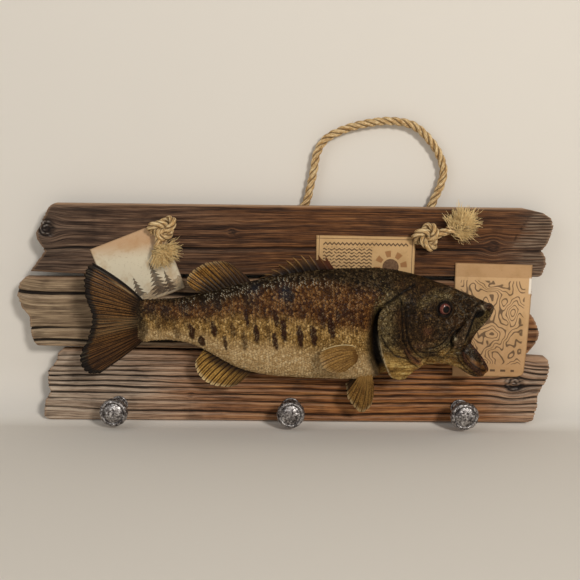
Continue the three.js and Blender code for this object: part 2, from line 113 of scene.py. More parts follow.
class Paint:
    # one material and the few nodes that every finish here is made from
    def __init__(self, name):
        self.material = bpy.data.materials.new(name)
        self.material.use_nodes = True
        self.tree = self.material.node_tree
        self.shader = self.tree.nodes["Principled BSDF"]

    def feed(self, socket, value):
        # another socket, a hex colour or a plain value
        if isinstance(value, Wire):
            self.tree.links.new(value.socket, socket)
        else:
            socket.default_value = tint(value) if isinstance(value, str) else value

    def node(self, kind, settings=None, values=None, output=0):
        made = self.tree.nodes.new("ShaderNode" + kind)
        for key, value in (settings or {}).items():
            if key == "stops":
                ramp = made.color_ramp.elements
                while len(ramp) < len(value):
                    ramp.new(0.5)
                for stop, (spot, colour) in zip(ramp, value):
                    stop.position = spot
                    stop.color = colour
            else:
                setattr(made, key, value)
        for key, value in (values or {}).items():
            self.feed(made.inputs[key], value)
        return Wire(self, made.outputs[output])

    def mix(self, factor, first, second):
        return self.node("Mix", {"data_type": "RGBA"}, {0: factor, 6: first, 7: second}, 2)

    def over(self, colour, *layers):
        # each layer is how much of it shows, and its colour
        for factor, top in layers:
            colour = self.mix(factor, colour, top)
        return colour

    def ramp(self, value, *stops):
        stops = [(spot, tint(code)) for spot, code in stops]
        return self.node("ValToRGB", {"stops": stops}, {0: value})

    def mark(self, name):
        # a number that the mesh carries at each point
        return self.node("Attribute", {"attribute_name": name}, None, 2)

    def spot(self, name=None, stretch=(1, 1, 1)):
        # the place in metres, or a vector that the mesh carries, stretched
        if name:
            place = self.node("Attribute", {"attribute_name": name}, None, 1)
        else:
            place = self.node("TexCoord", None, None, 3)
        return self.node("VectorMath", {"operation": "MULTIPLY"}, {0: place, 1: stretch})

    def parts(self, vector):
        made = self.node("SeparateXYZ", None, {0: vector})
        return [Wire(self, socket) for socket in made.socket.node.outputs]

    def noise(self, place, scale, detail=3, rough=0.55, warp=0):
        values = {"Vector": place, "Scale": scale, "Detail": detail, "Roughness": rough, "Distortion": warp}
        return self.node("TexNoise", None, values)

    def cells(self, place, scale):
        return self.node("TexVoronoi", {"feature": "F1"}, {"Vector": place, "Scale": scale})

    def finish(self, colour, rough, height=None, depth=0.3, **fixed):
        # depth is the bump's height in millimetres
        fixed["Base_Color"] = colour
        fixed["Roughness"] = rough
        if height:
            values = {"Height": height, "Distance": depth * mm, "Strength": 1}
            fixed["Normal"] = self.node("Bump", None, values)
        for key, value in fixed.items():
            self.feed(self.shader.inputs[key.replace("_", " ")], value)
        return self.material


# ---- shape tools, in millimetres


def through(stations):
    # the smooth curve that the frame's own shapes follow
    xs, ys = np.array(stations, float).T
    gaps = np.diff(xs)
    slopes = np.diff(ys) / gaps
    lean = np.zeros(len(xs))
    lean[1:-1] = (slopes[:-1] * gaps[1:] + slopes[1:] * gaps[:-1]) / (gaps[:-1] + gaps[1:])
    lean[0] = slopes[0]
    lean[-1] = slopes[-1]

    def curve(x):
        x = np.asarray(x, float)
        i = np.clip(np.searchsorted(xs, x) - 1, 0, len(xs) - 2)
        t = (x - xs[i]) / gaps[i]
        rise = (1 + 2 * t) * (1 - t) ** 2 * ys[i] + t * t * (3 - 2 * t) * ys[i + 1]
        return rise + gaps[i] * (t * (1 - t) ** 2 * lean[i] - t * t * (1 - t) * lean[i + 1])

    return curve


def distances(points):
    # how far each point lies along the line from its start
    return np.r_[0, np.cumsum(np.linalg.norm(np.diff(points, axis=0), axis=1))]


def peak(away, size):
    # 1 where away is none, fading out over size
    return np.exp(-(away / size) ** 2)


def oval(x, z, a, b, wide, tall):
    return np.exp(-((x - a) / wide) ** 2 - ((z - b) / tall) ** 2)


def bend(a, b, c, t):
    # across from a to c, over b half way
    pull = 2 * b - 0.5 * a - 0.5 * c
    return (1 - t) ** 2 * a[:, None] + 2 * t * (1 - t) * pull[:, None] + t * t * c[:, None]


def circle(count):
    return np.linspace(0, 2 * math.pi, count, endpoint=False)


def curveThrough(points, count, closed=False):
    # evenly spaced points on a smooth curve through the given ones
    points = np.array(points, float)
    if closed:
        padded = np.vstack([points[-1:], points, points[:2]])
    else:
        padded = np.vstack([2 * points[0] - points[1], points, 2 * points[-1] - points[-2]])
    runs = []
    t = np.linspace(0, 1, 24, endpoint=False)[:, None]
    for a, b, c, d in zip(padded, padded[1:], padded[2:], padded[3:]):
        u, v, w = [max(math.dist(p, q) ** 0.5, 1e-4) for p, q in ((a, b), (b, c), (c, d))]
        leave = ((b - a) / u - (c - a) / (u + v) + (c - b) / v) * v
        reach = ((c - b) / v - (d - b) / (v + w) + (d - c) / w) * v
        bend = (1 + 2 * t) * (1 - t) ** 2 * b + t * t * (3 - 2 * t) * c
        runs.append(bend + t * (1 - t) ** 2 * leave - t * t * (1 - t) * reach)
    runs = np.vstack(runs + [padded[-2:-1]])
    walked = distances(runs)
    stops = np.linspace(0, walked[-1], count)
    return np.stack([np.interp(stops, walked, runs[:, k]) for k in range(3)], axis=1)


def unit(vectors):
    return vectors / np.maximum(np.linalg.norm(vectors, axis=-1, keepdims=True), 1e-9)


def blend(low, high, value):
    # 0 below low, 1 above high, smooth between; the limits may run backwards
    t = np.clip((value - low) / (high - low), 0, 1)
    return t * t * (3 - 2 * t)


latticeValues = np.random.default_rng(7).random(65536)


def ripple(x, y=0.0, z=0.0, seed=0):
    # smooth noise from -1 to 1 with one cell per unit
    spots = np.broadcast_arrays(*[np.asarray(v, float) for v in (x, y, z)])
    whole = [np.floor(v).astype(np.int64) for v in spots]
    ease = [(v - w) ** 2 * (3 - 2 * (v - w)) for v, w in zip(spots, whole)]
    total = 0
    for corner in range(8):
        weight = 1.0
        key = seed * 7919
        for axis, prime in enumerate((73856093, 19349663, 83492791)):
            bit = corner >> axis & 1
            key = key ^ (whole[axis] + bit) * prime
            weight = weight * (ease[axis] if bit else 1 - ease[axis])
        total = total + weight * latticeValues[(key ^ key >> 13) & 65535]
    return 2 * total - 1


def nearLine(x, z, line):
    # each point's distance from a line of (x, z) stations
    best = np.full(np.shape(x), 1e9)
    for (ax, az), (bx, bz) in zip(line, line[1:]):
        dx, dz = bx - ax, bz - az
        t = np.clip(((x - ax) * dx + (z - az) * dz) / (dx * dx + dz * dz), 0, 1)
        best = np.minimum(best, np.hypot(x - ax - t * dx, z - az - t * dz))
    return best


def gridFaces(rows, columns, wrap=False, start=0, flip=False):
    # four-sided faces of a grid whose points run along the columns first
    i = np.arange(rows - 1)[:, None] * columns
    j = np.arange(columns if wrap else columns - 1)[None, :]
    k = (j + 1) % columns
    faces = np.stack([i + j, i + k, i + columns + k, i + columns + j], axis=-1).reshape(-1, 4) + start
    return faces[:, ::-1] if flip else faces


def makeMesh(name, points, faceSets, flat=False, **marks):
    points = np.asarray(points, float).reshape(-1, 3)
    faceSets = [np.asarray(f) for f in faceSets if len(f)]
    sizes = np.concatenate([np.full(len(f), f.shape[1]) for f in faceSets])
    mesh = bpy.data.meshes.new(name)
    mesh.vertices.add(len(points))
    mesh.vertices.foreach_set("co", (points * mm).ravel())
    mesh.loops.add(int(sizes.sum()))
    mesh.loops.foreach_set("vertex_index", np.concatenate([f.ravel() for f in faceSets]).astype(np.int32))
    mesh.polygons.add(len(sizes))
    mesh.polygons.foreach_set("loop_start", np.r_[0, np.cumsum(sizes)[:-1]].astype(np.int32))
    mesh.update(calc_edges=True)
    if not flat:
        mesh.shade_smooth()
    for key, values in marks.items():
        addMark(mesh, key, values)
    return mesh


def addMark(mesh, name, values):
    # a number or a vector for each point, which the materials read
    values = np.asarray(values, float)
    kind, field = ("FLOAT", "value") if values.size == len(mesh.vertices) else ("FLOAT_VECTOR", "vector")
    mark = mesh.attributes.new(name, kind, "POINT")
    mark.data.foreach_set(field, values.ravel())


def addObject(name, mesh, material=None):
    made = bpy.data.objects.new(name, mesh)
    scene.collection.objects.link(made)
    if material:
        mesh.materials.append(material)
    return made


def piece(name, mesh, material, slot, *nodes):
    made = addObject(name, mesh, material)
    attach(made, "root")
    if nodes:
        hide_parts(*nodes)
    return made


def framesAlong(points, closed=False):
    # the direction of travel and two arms across it that don't spin
    ahead = unit(np.gradient(points, axis=0))
    if closed:
        ahead[0] = ahead[-1] = unit(points[1] - points[-2])
    arms = [unit(np.cross(ahead[0], (0.3, 0.5, 0.81)))]
    for step in ahead[1:]:
        arm = arms[-1] - step * np.dot(arms[-1], step)
        arms.append(unit(arm))
    arms = np.array(arms)
    return ahead, arms, np.cross(ahead, arms)


def closedLoft(rings, hubs=None):
    # rings of points as one skin, with a hub closing each end
    rows, columns = rings.shape[:2]
    j = np.arange(columns)
    k = (j + 1) % columns
    last = (rows - 1) * columns
    total = rows * columns
    caps = [np.stack([k, j, 0 * j + total], 1), np.stack([j + last, k + last, 0 * j + total + 1], 1)]
    if hubs is None:
        hubs = [rings[0].mean(axis=0), rings[-1].mean(axis=0)]
    return np.vstack([rings.reshape(-1, 3), hubs]), [gridFaces(rows, columns, True)] + caps


def tube(points, radii, sides, closed=False):
    # rings round a curve; radii is a number, a column or a whole grid
    points = np.asarray(points, float)
    count = len(points)
    turn = circle(sides)
    ahead, right, up = framesAlong(points, closed)
    radii = np.broadcast_to(np.asarray(radii, float), (count, sides))[..., None]
    arms = right[:, None] * np.cos(turn)[None, :, None] + up[:, None] * np.sin(turn)[None, :, None]
    rings = points[:, None] + arms * radii
    if closed:
        return rings[:-1].reshape(-1, 3), [gridFaces(count, sides, True) % ((count - 1) * sides)]
    return closedLoft(rings, [points[0], points[-1]])


def sheetFaces(rows, columns):
    # two sheets of points, one behind the other, closed round their rim
    grid = np.arange(rows * columns).reshape(rows, columns)
    rim = np.r_[grid[0], grid[1:, -1], grid[-1, -2::-1], grid[-2:0:-1, 0]]
    after = np.roll(rim, -1)
    faces = gridFaces(rows, columns)
    walls = np.stack([rim + grid.size, after + grid.size, after, rim], axis=1)
    return np.concatenate([faces, faces[:, ::-1] + grid.size, walls])


def slabFaces(rows, columns):
    # rows that run along the front and back again, closed at both ends
    around = 2 * columns
    i = np.arange(columns - 1)
    cap = np.stack([i, i + 1, around - 2 - i, around - 1 - i], axis=1)
    return [gridFaces(rows, around, True)[:, ::-1], cap, (cap + (rows - 1) * around)[:, ::-1]]


def joined(parts):
    # several (points, faceSets) as one
    points = []
    faceSets = []
    start = 0
    for spots, sets in parts:
        points.append(spots)
        faceSets.extend(f + start for f in sets)
        start += len(spots)
    return np.vstack(points), faceSets


# ---- rope

ropeLook = {
    "diameter": 9.4,
    "strandRadius": 2.55,
    "strandOffset": 2.25,
    "lay": 31,               # length of one full twist
    "colours": ("6f4d2c", "bd9660", "ecd6a8"),
}
boardFront = -30
leftHole = (-138, 88)
rightHole = (163, 89)
ropeBehind = -6
throughHole = [boardFront - 1, -20, -12.6]      # from the knot back through the plank
ropeRoute = [
    *[(leftHole[0], y, leftHole[1]) for y in throughHole], (-136.2, -7.9, 88.4),
    *[(x, ropeBehind, z) for x, z in (
        (-131.5, 89.4), (-112, 93), (-80, 99), (-45, 104), (-12, 107), (11, 113), (22, 126), (27, 145),
        (31, 165), (34, 183), (43, 198), (62, 209), (90, 217), (118, 220), (144, 215), (163, 199),
        (175, 181), (180, 164), (177, 147), (170, 131), (164, 114), (163, 95.5),
    )],
    (163, -7.9, 90.8), *[(rightHole[0], y, rightHole[1]) for y in throughHole[::-1]],
]


def ropePaint():
    paint = Paint("rope_fibre")
    fibres = paint.noise(paint.spot("lay", (9, 0.35, 1)), 1, 4, 0.6)
    yarns = paint.noise(paint.spot("lay", (3, 0.12, 1)), 1, 2)
    patches = paint.noise(paint.spot("lay"), 0.09, 2)
    colour = paint.over(
        paint.ramp(fibres * 0.55 + yarns * 0.45, *zip((0.36, 0.49, 0.6), ropeLook["colours"])),
        (patches.step(0.45, 0.7) * 0.35, "e6d0a2"),
        ((paint.mark("loose") * (0.55 + yarns * 0.7)).join("MINIMUM", 1), "f0d296"),
        # painted shade: dark in the grooves between the strands, inside the knots and deep in the brushes
        (paint.mark("hollow") * 0.88, "432a15"),
    )
    return paint.finish(colour, 0.85, fibres + yarns, 0.5, Specular_IOR_Level=0.25)


ropeFinish = ropePaint()


def layRope(points, scale=1.0, closed=False):
    # three strands twisted round the curve, as one closed skin
    sides = 36
    third = 2 * math.pi / 3
    walked = distances(points)[:, None]
    turn = circle(sides)[None, :] - 2 * math.pi * walked / ropeLook["lay"]
    away = (turn + third / 2) % third - third / 2
    offset = ropeLook["strandOffset"]
    radii = offset * np.cos(away) + np.sqrt(ropeLook["strandRadius"] ** 2 - (offset * np.sin(away)) ** 2)
    radii = radii * scale * (1 + 0.03 * ripple(turn * 5, walked / 4, 0, 3))
    spots, faces = tube(points, radii, sides, closed=closed)
    # painted shade in the grooves between the strands
    hollow = blend(0.6, 1.05, np.abs(away))
    strand = np.floor((turn + third / 2) / third)
    # fibres lean the other way across each strand
    lay = np.stack([away + walked * 0.09, walked + 0 * away, strand * 7.3], axis=-1)
    if closed:
        # no light falls on what is turned to the knot's middle or to the board
        arms = unit(spots.reshape(-1, sides, 3) - points[:-1, None])
        outward = unit(points[:-1] - points.mean(axis=0))[:, None]
        shade = blend(0.0, 0.95, np.maximum(-(arms * outward).sum(axis=-1), arms[..., 1]))
        hollow = np.vstack([np.maximum(hollow[:-1], 0.8 * shade), hollow[-1:]])
    hollow = np.r_[hollow.ravel(), 1, 1]
    lay = np.vstack([lay.reshape(-1, 3), np.zeros((2, 3))])
    return spots, faces, hollow[:len(spots)], lay[:len(spots)]


def strands(roots, aims, lengths, thick, curl, seed, sides=3, joints=5):
    # loose fibres, each a closed tapering thread
    draw = np.random.default_rng(seed)
    count = len(roots)
    t = np.linspace(0, 1, joints)[None, :, None]
    aims = unit(aims)
    sag = unit(np.cross(aims, draw.normal(size=(count, 3)))) * (lengths * curl)[:, None]
    wave = draw.normal(size=(count, 1, 3)) * (lengths * curl)[:, None, None] * 0.35
    spine = roots[:, None] + aims[:, None] * lengths[:, None, None] * t + sag[:, None] * t * t
    spine = spine + wave * np.sin(t * math.pi * 1.7)
    right = unit(np.cross(aims, (0.2, 0.3, 0.93)))
    up = np.cross(aims, right)
    turn = circle(sides)
    arms = right[:, None] * np.cos(turn)[None, :, None] + up[:, None] * np.sin(turn)[None, :, None]
    taper = np.linspace(1, 0.35, joints)[None, :, None, None]
    width = np.broadcast_to(np.asarray(thick, float), (count,))[:, None, None, None] / 2
    rings = spine[:, :, None] + arms[:, None] * taper * width
    points = rings.reshape(-1, 3)
    one = gridFaces(joints, sides, True)
    starts = (np.arange(count) * joints * sides)[:, None, None]
    walls = (one[None] + starts).reshape(-1, 4)
    foot = (np.arange(sides)[::-1][None] + starts[:, 0]).reshape(-1, sides)
    tip = (np.arange(sides)[None] + (joints - 1) * sides + starts[:, 0]).reshape(-1, sides)
    along = np.broadcast_to(t[..., 0] * lengths[:, None], (count, joints))
    shift = draw.random(count)[:, None] * 40
    lay = np.stack(np.broadcast_arrays(shift, along, shift * 3), axis=-1)
    lay = np.repeat(lay[:, :, None], sides, axis=2).reshape(-1, 3)
    return points, [walls, foot, tip], np.zeros(len(points)), lay


def ropePiece(name, pieces, *nodes):
    points, faces = joined([part[:2] for part in pieces])
    hollow = np.concatenate([part[2] for part in pieces])
    lay = np.vstack([part[3] for part in pieces])
    loose = np.full(len(points), float(name.startswith("brush")))
    mesh = makeMesh(name, points, faces, hollow=hollow, lay=lay, loose=loose)
    return piece(name, mesh, ropeFinish, "rope_fibre", *nodes)


ropeLine = curveThrough(ropeRoute, 560)


def hairsOn(line, count, seed, reach=6.5):
    draw = np.random.default_rng(seed)
    picked = line[draw.integers(0, len(line), count)]
    ahead = unit(np.gradient(line, axis=0))[draw.integers(0, len(line), count)]
    out = unit(np.cross(ahead, draw.normal(size=(count, 3))))
    # none of them reaches into the wall
    out[:, 1] = np.minimum(out[:, 1], 0.1)
    roots = picked + out * 3.4
    lengths = draw.uniform(1.5, reach, count) * draw.uniform(0.5, 1, count)
    return strands(roots, out + ahead * draw.normal(size=(count, 1)), lengths, 0.22, 0.35, seed + 1)


ropeBody = ropePiece("rope_laid", [layRope(ropeLine)], "rope")

knotForms = {
    "left": {
        "centre": (-139, -40.9, 98), "tilt": 0.35, "wide": 5, "tall": 3.3,
        "tail": [(-138, -40.9, 100), (-142.5, -43.9, 89), (-144.5, -42.9, 76)],
        "root": (-144.5, -42.9, 74), "reach": 27, "count": 620, "shade": 0.3,
        "aims": [(-108, 0.7), (-88, 0.76), (-62, 0.7), (-34, 0.85), (-10, 1.0), (14, 0.9)],
    },
    "right": {
        "centre": (158, -40.9, 91), "tilt": 0.55, "wide": 4.2, "tall": 4.4,
        "tail": [(160, -40.9, 88), (172, -42.9, 95), (189, -42.9, 100.6)],
        "root": (191, -42.9, 100), "reach": 29, "count": 700, "shade": 0.7,
        "aims": [(132, 0.5), (100, 0.82), (68, 0.95), (40, 1.08), (14, 1.02), (-8, 0.82), (-28, 0.5)],
    },
}
knotLift = 0.54 * ropeLook["diameter"]


def knotLine(form):
    turn = circle(18)
    u = form["wide"] * (np.sin(turn) + 2 * np.sin(2 * turn))
    v = form["tall"] * (np.cos(turn) - 2 * np.cos(2 * turn))
    cos, sin = math.cos(form["tilt"]), math.sin(form["tilt"])
    loop = np.stack([u * cos - v * sin, -knotLift * np.sin(3 * turn), u * sin + v * cos], axis=1)
    return curveThrough(loop + form["centre"], 150, True)


def brush(form):
    # the teased-out end: fibres in locks, with painted shade between the locks and at the root
    draw = np.random.default_rng(41)
    locks, count = 30, form["count"]
    angles, reaches = np.array(form["aims"]).T
    stops = np.linspace(0, 1, len(angles))
    picks = draw.random(locks)
    lockAngle = np.radians(np.interp(picks, stops, angles))
    lockReach = form["reach"] * np.interp(picks, stops, reaches) * draw.uniform(0.75, 1.05, locks)
    lockLift = draw.normal(size=locks) * 0.35
    lockRoot = draw.normal(size=(locks, 3)) * (2.4, 1.3, 2.4)
    lockShade = draw.uniform(-0.6, form["shade"], locks).clip(0, 1)
    own = draw.integers(0, locks, count)
    angle = lockAngle[own] + draw.normal(size=count) * 0.12
    aims = np.stack([np.cos(angle), lockLift[own] + draw.normal(size=count) * 0.15, np.sin(angle)], axis=1)
    roots = np.array(form["root"]) + lockRoot[own] + draw.normal(size=(count, 3)) * (1.0, 0.5, 1.0)
    lengths = lockReach[own] * draw.uniform(0.7, 1.0, count)
    sides, joints = 3, 6
    thick = draw.uniform(0.8, 1.6, count)
    points, faces, plain, lay = strands(roots, aims, lengths, thick, 0.34, 43, sides, joints)
    rootward = np.tile(np.repeat(np.linspace(0.45, -0.3, joints).clip(0, 1), sides), count)
    return points, faces, np.maximum(rootward, np.repeat(lockShade[own], sides * joints)) + plain, lay


ropeEnds = [ropePiece("rope_hairs", [hairsOn(ropeLine[40:-40], 420, 21)])]
for side, form in knotForms.items():
    loop = knotLine(form)
    tail = curveThrough(form["tail"], 40)
    parts = [layRope(loop, 0.97, True), layRope(tail, 0.95)]
    parts += [hairsOn(loop, 130, 31, 5), hairsOn(tail, 40, 33, 5)]
    ropeEnds.append(ropePiece(f"knotted_{side}", parts, f"knot_{side}"))
    ropeEnds.append(ropePiece(f"brush_{side}", [brush(form)], f"fray_{side}"))

# ---- planks

plankBack = -12
plankLooks = {
    "top": {
        "slot": "wood_dark", "seed": 1,
        "left": [(-294, 46), (-277, 69), (-279, 73), (-285, 83), (-286, 90), (-278, 106), (-270, 121),
                 (-264, 124)],
        "right": [(291, 45), (294, 48), (298, 60), (297, 67), (292, 75), (298, 83), (303, 97), (304, 104),
                  (301, 112), (291, 118.5), (270, 123)],
        "low": [(-294, 46), (-232, 44), (282, 45), (291, 45)],
        "high": [(-264, 124), (270, 123)],
        # heights at the left end, the middle and the right end, then width and depth
        "grooves": [(74, 75, 75.5, 1.8, 1.5), (113, 103, 101, 0.8, 0.8), (116, 114, 110, 0.7, 0.6),
                    (62, 59, 57, 0.9, 0.8), (88, 84, 86, 0.8, 0.8), (98, 94, 93, 0.7, 0.6),
                    (54, 52, 51, 0.9, 0.9), (68, 66, 65, 0.7, 0.6), (106, 108, 106, 0.7, 0.6),
                    (121, 119, 117, 0.8, 0.7)],
        "knots": [(-273, 95.5, 10.5, 1), (-62, 93, 4, 0), (236, 80, 7, 0)],
        "cool": ("17100d", "43342a", "705c4c", "a08b75"),
        "warm": ("1c0e07", "4a2c17", "794e2c", "ab7d4e"),
        "along": [(-300, 0), (-120, 0.5), (0, 1), (200, 1), (262, 0.8), (285, 0.35)],
        "relief": 0.6, "ridges": (0.58, 256.9, 83, 78), "rubbed": 1.8,
    },
    "middle": {
        "slot": "wood_tan", "seed": 2,
        "left": [(-289, -41), (-294, -34), (-296, -22), (-297, -6), (-305, 3), (-310, 17), (-307, 32),
                 (-300, 39)],
        "right": [(281, -45), (284, -41), (292, -30), (294, -20), (289, -7), (282, 3), (281, 12), (283, 26),
                  (282, 33), (276, 39)],
        "low": [(-289, -41), (281, -45)],
        "high": [(-300, 39), (276, 39)],
        "grooves": [(21, 22, 18, 2.5, 2.6), (-18.8, -19, -16, 1.8, 2.2), (-34, -33, -30, 1.7, 2.2),
                    (34, 33, 33, 0.7, 0.5), (4, 6, 2, 0.6, 0.4)],
        "knots": [(-340, -1, 22, 0)],
        "cool": ("2f2117", "79654f", "a48e70", "cbb496"),
        "warm": ("241208", "74492b", "9b6d45", "c0955f"),
        "along": [(-310, 0), (-200, 0.1), (0, 0.7), (290, 1)],
        "relief": 0.3,
    },
    "bottom": {
        "slot": "wood_grey", "seed": 3,
        "left": [(-278, -129), (-283, -126), (-283, -115), (-281, -106), (-275, -96), (-278, -87),
                 (-277, -71), (-271, -65), (-266, -57), (-265, -50), (-260, -45.5)],
        "right": [(288, -127), (292, -124), (296, -109), (296, -95), (299, -89), (306, -75), (308, -62),
                  (306, -53), (303, -50)],
        "low": [(-278, -129), (288, -127)],
        "high": [(-260, -45.5), (269, -48), (303, -50)],
        "grooves": [(-50.5, -52, -55.4, 1.1, 1.5), (-57.7, -58, -60, 1.1, 1.5),
                    (-64.5, -64.5, -64, 1.2, 1.8), (-70.6, -70.5, -69.8, 1.2, 1.8),
                    (-76.2, -76, -76.5, 1.3, 1.9), (-82.5, -83.5, -83.3, 1.3, 1.9),
                    (-89, -90.5, -89.2, 1.4, 2), (-96, -97.6, -96, 1.3, 1.9),
                    (-103.5, -105.5, -105, 1.4, 2), (-114.2, -119.5, -115.5, 1.7, 2.2),
                    (-111, -111.8, -110, 0.8, 0.6), (-125.5, -126, -124, 0.8, 1)],
        "knots": [(266.5, -80.5, 11.5, 1), (-110, -98, 3, 0)],
        "cool": ("2a1d15", "927d69", "baa792", "d9cab6"),
        "warm": ("26130a", "7c4c28", "a87240", "cc9d5e"),
        "along": [(-285, 0), (-190, 0.15), (-90, 0.8), (40, 1), (220, 1), (262, 0.55), (300, 0.4)],
        "relief": 0.35, "rubbed": 1.2,
    },
}


def woodPaint(name, look):
    paint = Paint(name)
    deep, litRidges, along = paint.parts(paint.spot("wood"))
    edge, dark, glint = paint.parts(paint.spot("knot"))
    broad = paint.noise(paint.spot("grain", (0.008, 0.2, 1)), 1, 3)
    lines = paint.noise(paint.spot("grain", (0.02, 0.8, 1)), 1, 5, 0.65)
    fine = paint.noise(paint.spot("grain", (0.06, 3.0, 1)), 1, 3, 0.6)
    grime = paint.noise(paint.spot("grain", (0.03, 0.045, 1)), 1, 3)
    light = broad * 0.3 + lines * 0.45 + fine * 0.25
    stops = (0.4, 0.485, 0.57, 0.66)
    cool, warm = [paint.ramp(light, *zip(stops, look[key])) for key in ("cool", "warm")]
    colour = paint.over(
        paint.mix(along, cool, warm),
        (grime.step(0.5, 0.72) * 0.45, look["cool"][0]),
        # painted highlight on the lit groove shoulders and ridge tops
        (litRidges * fine.step(0.3, 0.6) * (1 - along * 0.6), look["cool"][3]),
        # painted highlight along the plank's edges
        ((edge * (0.3 + fine) * 0.6).join("MINIMUM", 0.85), "b89474"),
        (dark * 0.92, "120a07"),
        (glint * 0.8, "a59c94"),
        # painted shade: near black deep in the grooves and the split
        (deep.step(0.16, 0.8) * (0.95 - along * 0.15), "0b0604"),
    )
    return paint.finish(colour, 0.6 + lines * 0.2, lines * 0.6 + fine * 0.6, 0.6, Specular_IOR_Level=0.18)


def endLine(line, z):
    xs, zs = np.array(line, float).T
    return np.interp(z, zs, xs)


def plankSteps(look):
    # rows across the plank, closer together at the grooves, and columns along it
    lowZ, highZ = look["left"][0][1], look["left"][-1][1]
    height = highZ - lowZ
    edges = (0.35, 0.8, 1.4, 2.2)
    rows = set(np.round(np.linspace(0, height, int(height / 0.8)), 3)) | {0.0, *edges}
    rows |= {height - step for step in edges}
    t = np.array(sorted(r for r in rows if 0 <= r <= height)) / height
    t = t[np.r_[True, np.diff(t) * height > 0.12]]
    t[-1] = 1
    long = 580
    ends = [0, 0.4, 0.9, 1.6, 2.6, 4, 6]
    s = np.r_[ends, np.linspace(8, long - 8, 200), [long - e for e in ends[::-1]]] / long
    return s, t, lowZ, height


def addRidges(look, x, z, relief, deep, litRidges):
    # the split and the coarse weathered grain at one end
    slope, startX, startZ, floorZ = look["ridges"]
    crack = x - startX - (z - startZ) * slope
    wave = 0.5 + 0.5 * np.cos(2 * math.pi * (z / 3.35 + 0.25 * ripple(x / 30, z / 9, 0, 32)))
    upper = blend(0, 6, crack) * blend(floorZ - 1, floorZ + 2, z)
    lower = blend(255, 275, x) * blend(74, 70, z) * 0.8
    zone = np.maximum(upper, lower) * np.clip(1.1 + ripple(x / 14, z / 5, 0, 33), 0.4, 1)
    split = peak(crack, 1.3) * blend(floorZ, floorZ + 4, z) * blend(122, 108, z)
    relief = relief + 1.5 * (1 - wave) * zone + 1.4 * split
    deep = np.maximum(deep, np.maximum(zone * (1 - wave) ** 1.6 * 0.62, split * 0.6))
    # the pale ridge tops are a painted highlight
    return relief, deep, np.maximum(litRidges, zone * wave ** 1.5)


def plankPatch(look):
    # a patch between the two ragged ends and the two long edges, and how far each point is from them
    s, t, lowZ, height = plankSteps(look)
    left = np.stack([endLine(look["left"], lowZ + t * height), lowZ + t * height], axis=1)
    rightLow, rightHigh = look["right"][0][1], look["right"][-1][1]
    rightZ = rightLow + t * (rightHigh - rightLow)
    right = np.stack([endLine(look["right"], rightZ), rightZ], axis=1)
    lowX, lowZs = np.array(look["low"], float).T
    highX, highZs = np.array(look["high"], float).T
    alongLow = lowX[0] + s * (look["right"][0][0] - lowX[0])
    alongHigh = highX[0] + s * (look["right"][-1][0] - highX[0])
    lowLine = np.stack([alongLow, np.interp(alongLow, lowX, lowZs)], axis=1)
    highLine = np.stack([alongHigh, np.interp(alongHigh, highX, highZs)], axis=1)
    s, t = s[:, None, None], t[None, :, None]
    corners = (1 - s) * (1 - t) * left[0] + (1 - s) * t * left[-1]
    corners = corners + s * (1 - t) * right[0] + s * t * right[-1]
    ends = (1 - s) * left[None] + s * right[None]
    flat = ends + (1 - t) * lowLine[:, None] + t * highLine[:, None] - corners
    x, z = flat[..., 0], flat[..., 1]
    fromEnd = np.minimum(x - left[None, :, 0], right[None, :, 0] - x)
    fromLow, fromHigh = z - lowLine[:, None, 1], highLine[:, None, 1] - z
    return x, z, fromEnd, fromLow, fromHigh


def addKnots(look, x, z, grain):
    # the grain bends round each knot
    dark = np.zeros_like(x)
    glint = np.zeros_like(x)
    for knotX, knotZ, size, swirl in look["knots"]:
        dx, dz = x - knotX, z - knotZ
        away = np.hypot(dx, dz)
        grain = grain - dz * peak(away / size, 1.5)
        inside = blend(size * 1.12, size * 0.85, away)
        rings = away * (1.5 if swirl else 2.4) + swirl * np.arctan2(dz, dx)
        wave = np.sin(rings + 1.2 * ripple(x / 4, z / 4, 0, 6))
        dark = np.maximum(dark, inside * (0.75 - 0.4 * wave if swirl else 0.5 + 0.4 * wave))
        shine = swirl * inside * blend(0.55, 0.9, wave)
        glint = np.maximum(glint, shine * blend(-0.2, 0.5, ripple(x / 3, z / 3, 0, 34)))
    return grain, dark, glint


def addGrooves(look, x, z, grain):
    # how far the face lies back, how deep it is cut and where a painted highlight lies on its shoulders
    seed = look["seed"]
    relief = 0.4 * look["relief"] * ripple(x / 70, grain / 9, seed, 7)
    relief = relief + look["relief"] * np.abs(ripple(x / 60, grain / 2.2, seed, 8)) ** 0.8
    relief = relief + 0.3 * look["relief"] * ripple(x / 25, grain / 1.2, seed, 9)
    deep = np.zeros_like(x)
    litRidges = np.zeros_like(x)
    for i, (start, middle, end, width, depth) in enumerate(look["grooves"]):
        centre = np.interp(x, [-290, 0, 295], [start, middle, end])
        centre = centre + 0.9 * ripple(x / 55, i * 2.7, seed, 35) + 0.3 * ripple(x / 15, i, 0, 10)
        strength = np.clip(0.85 + 0.4 * ripple(x / 60, i * 3.3, seed, 11), 0.3, 1.15)
        away = (z + (grain - z) * 0.6 - centre) / width / (0.6 + 0.4 * strength)
        cut = np.clip(1 - np.abs(away), 0, 1) ** 0.7 * depth * strength
        relief = relief + cut
        deep = np.maximum(deep, cut / 1.6)
        # the lit shoulder above the groove and the shaded one under it
        litRidges = np.maximum(litRidges, 0.5 * depth / 2.4 * peak(away + 1.9, 0.7))
    return relief, deep, litRidges


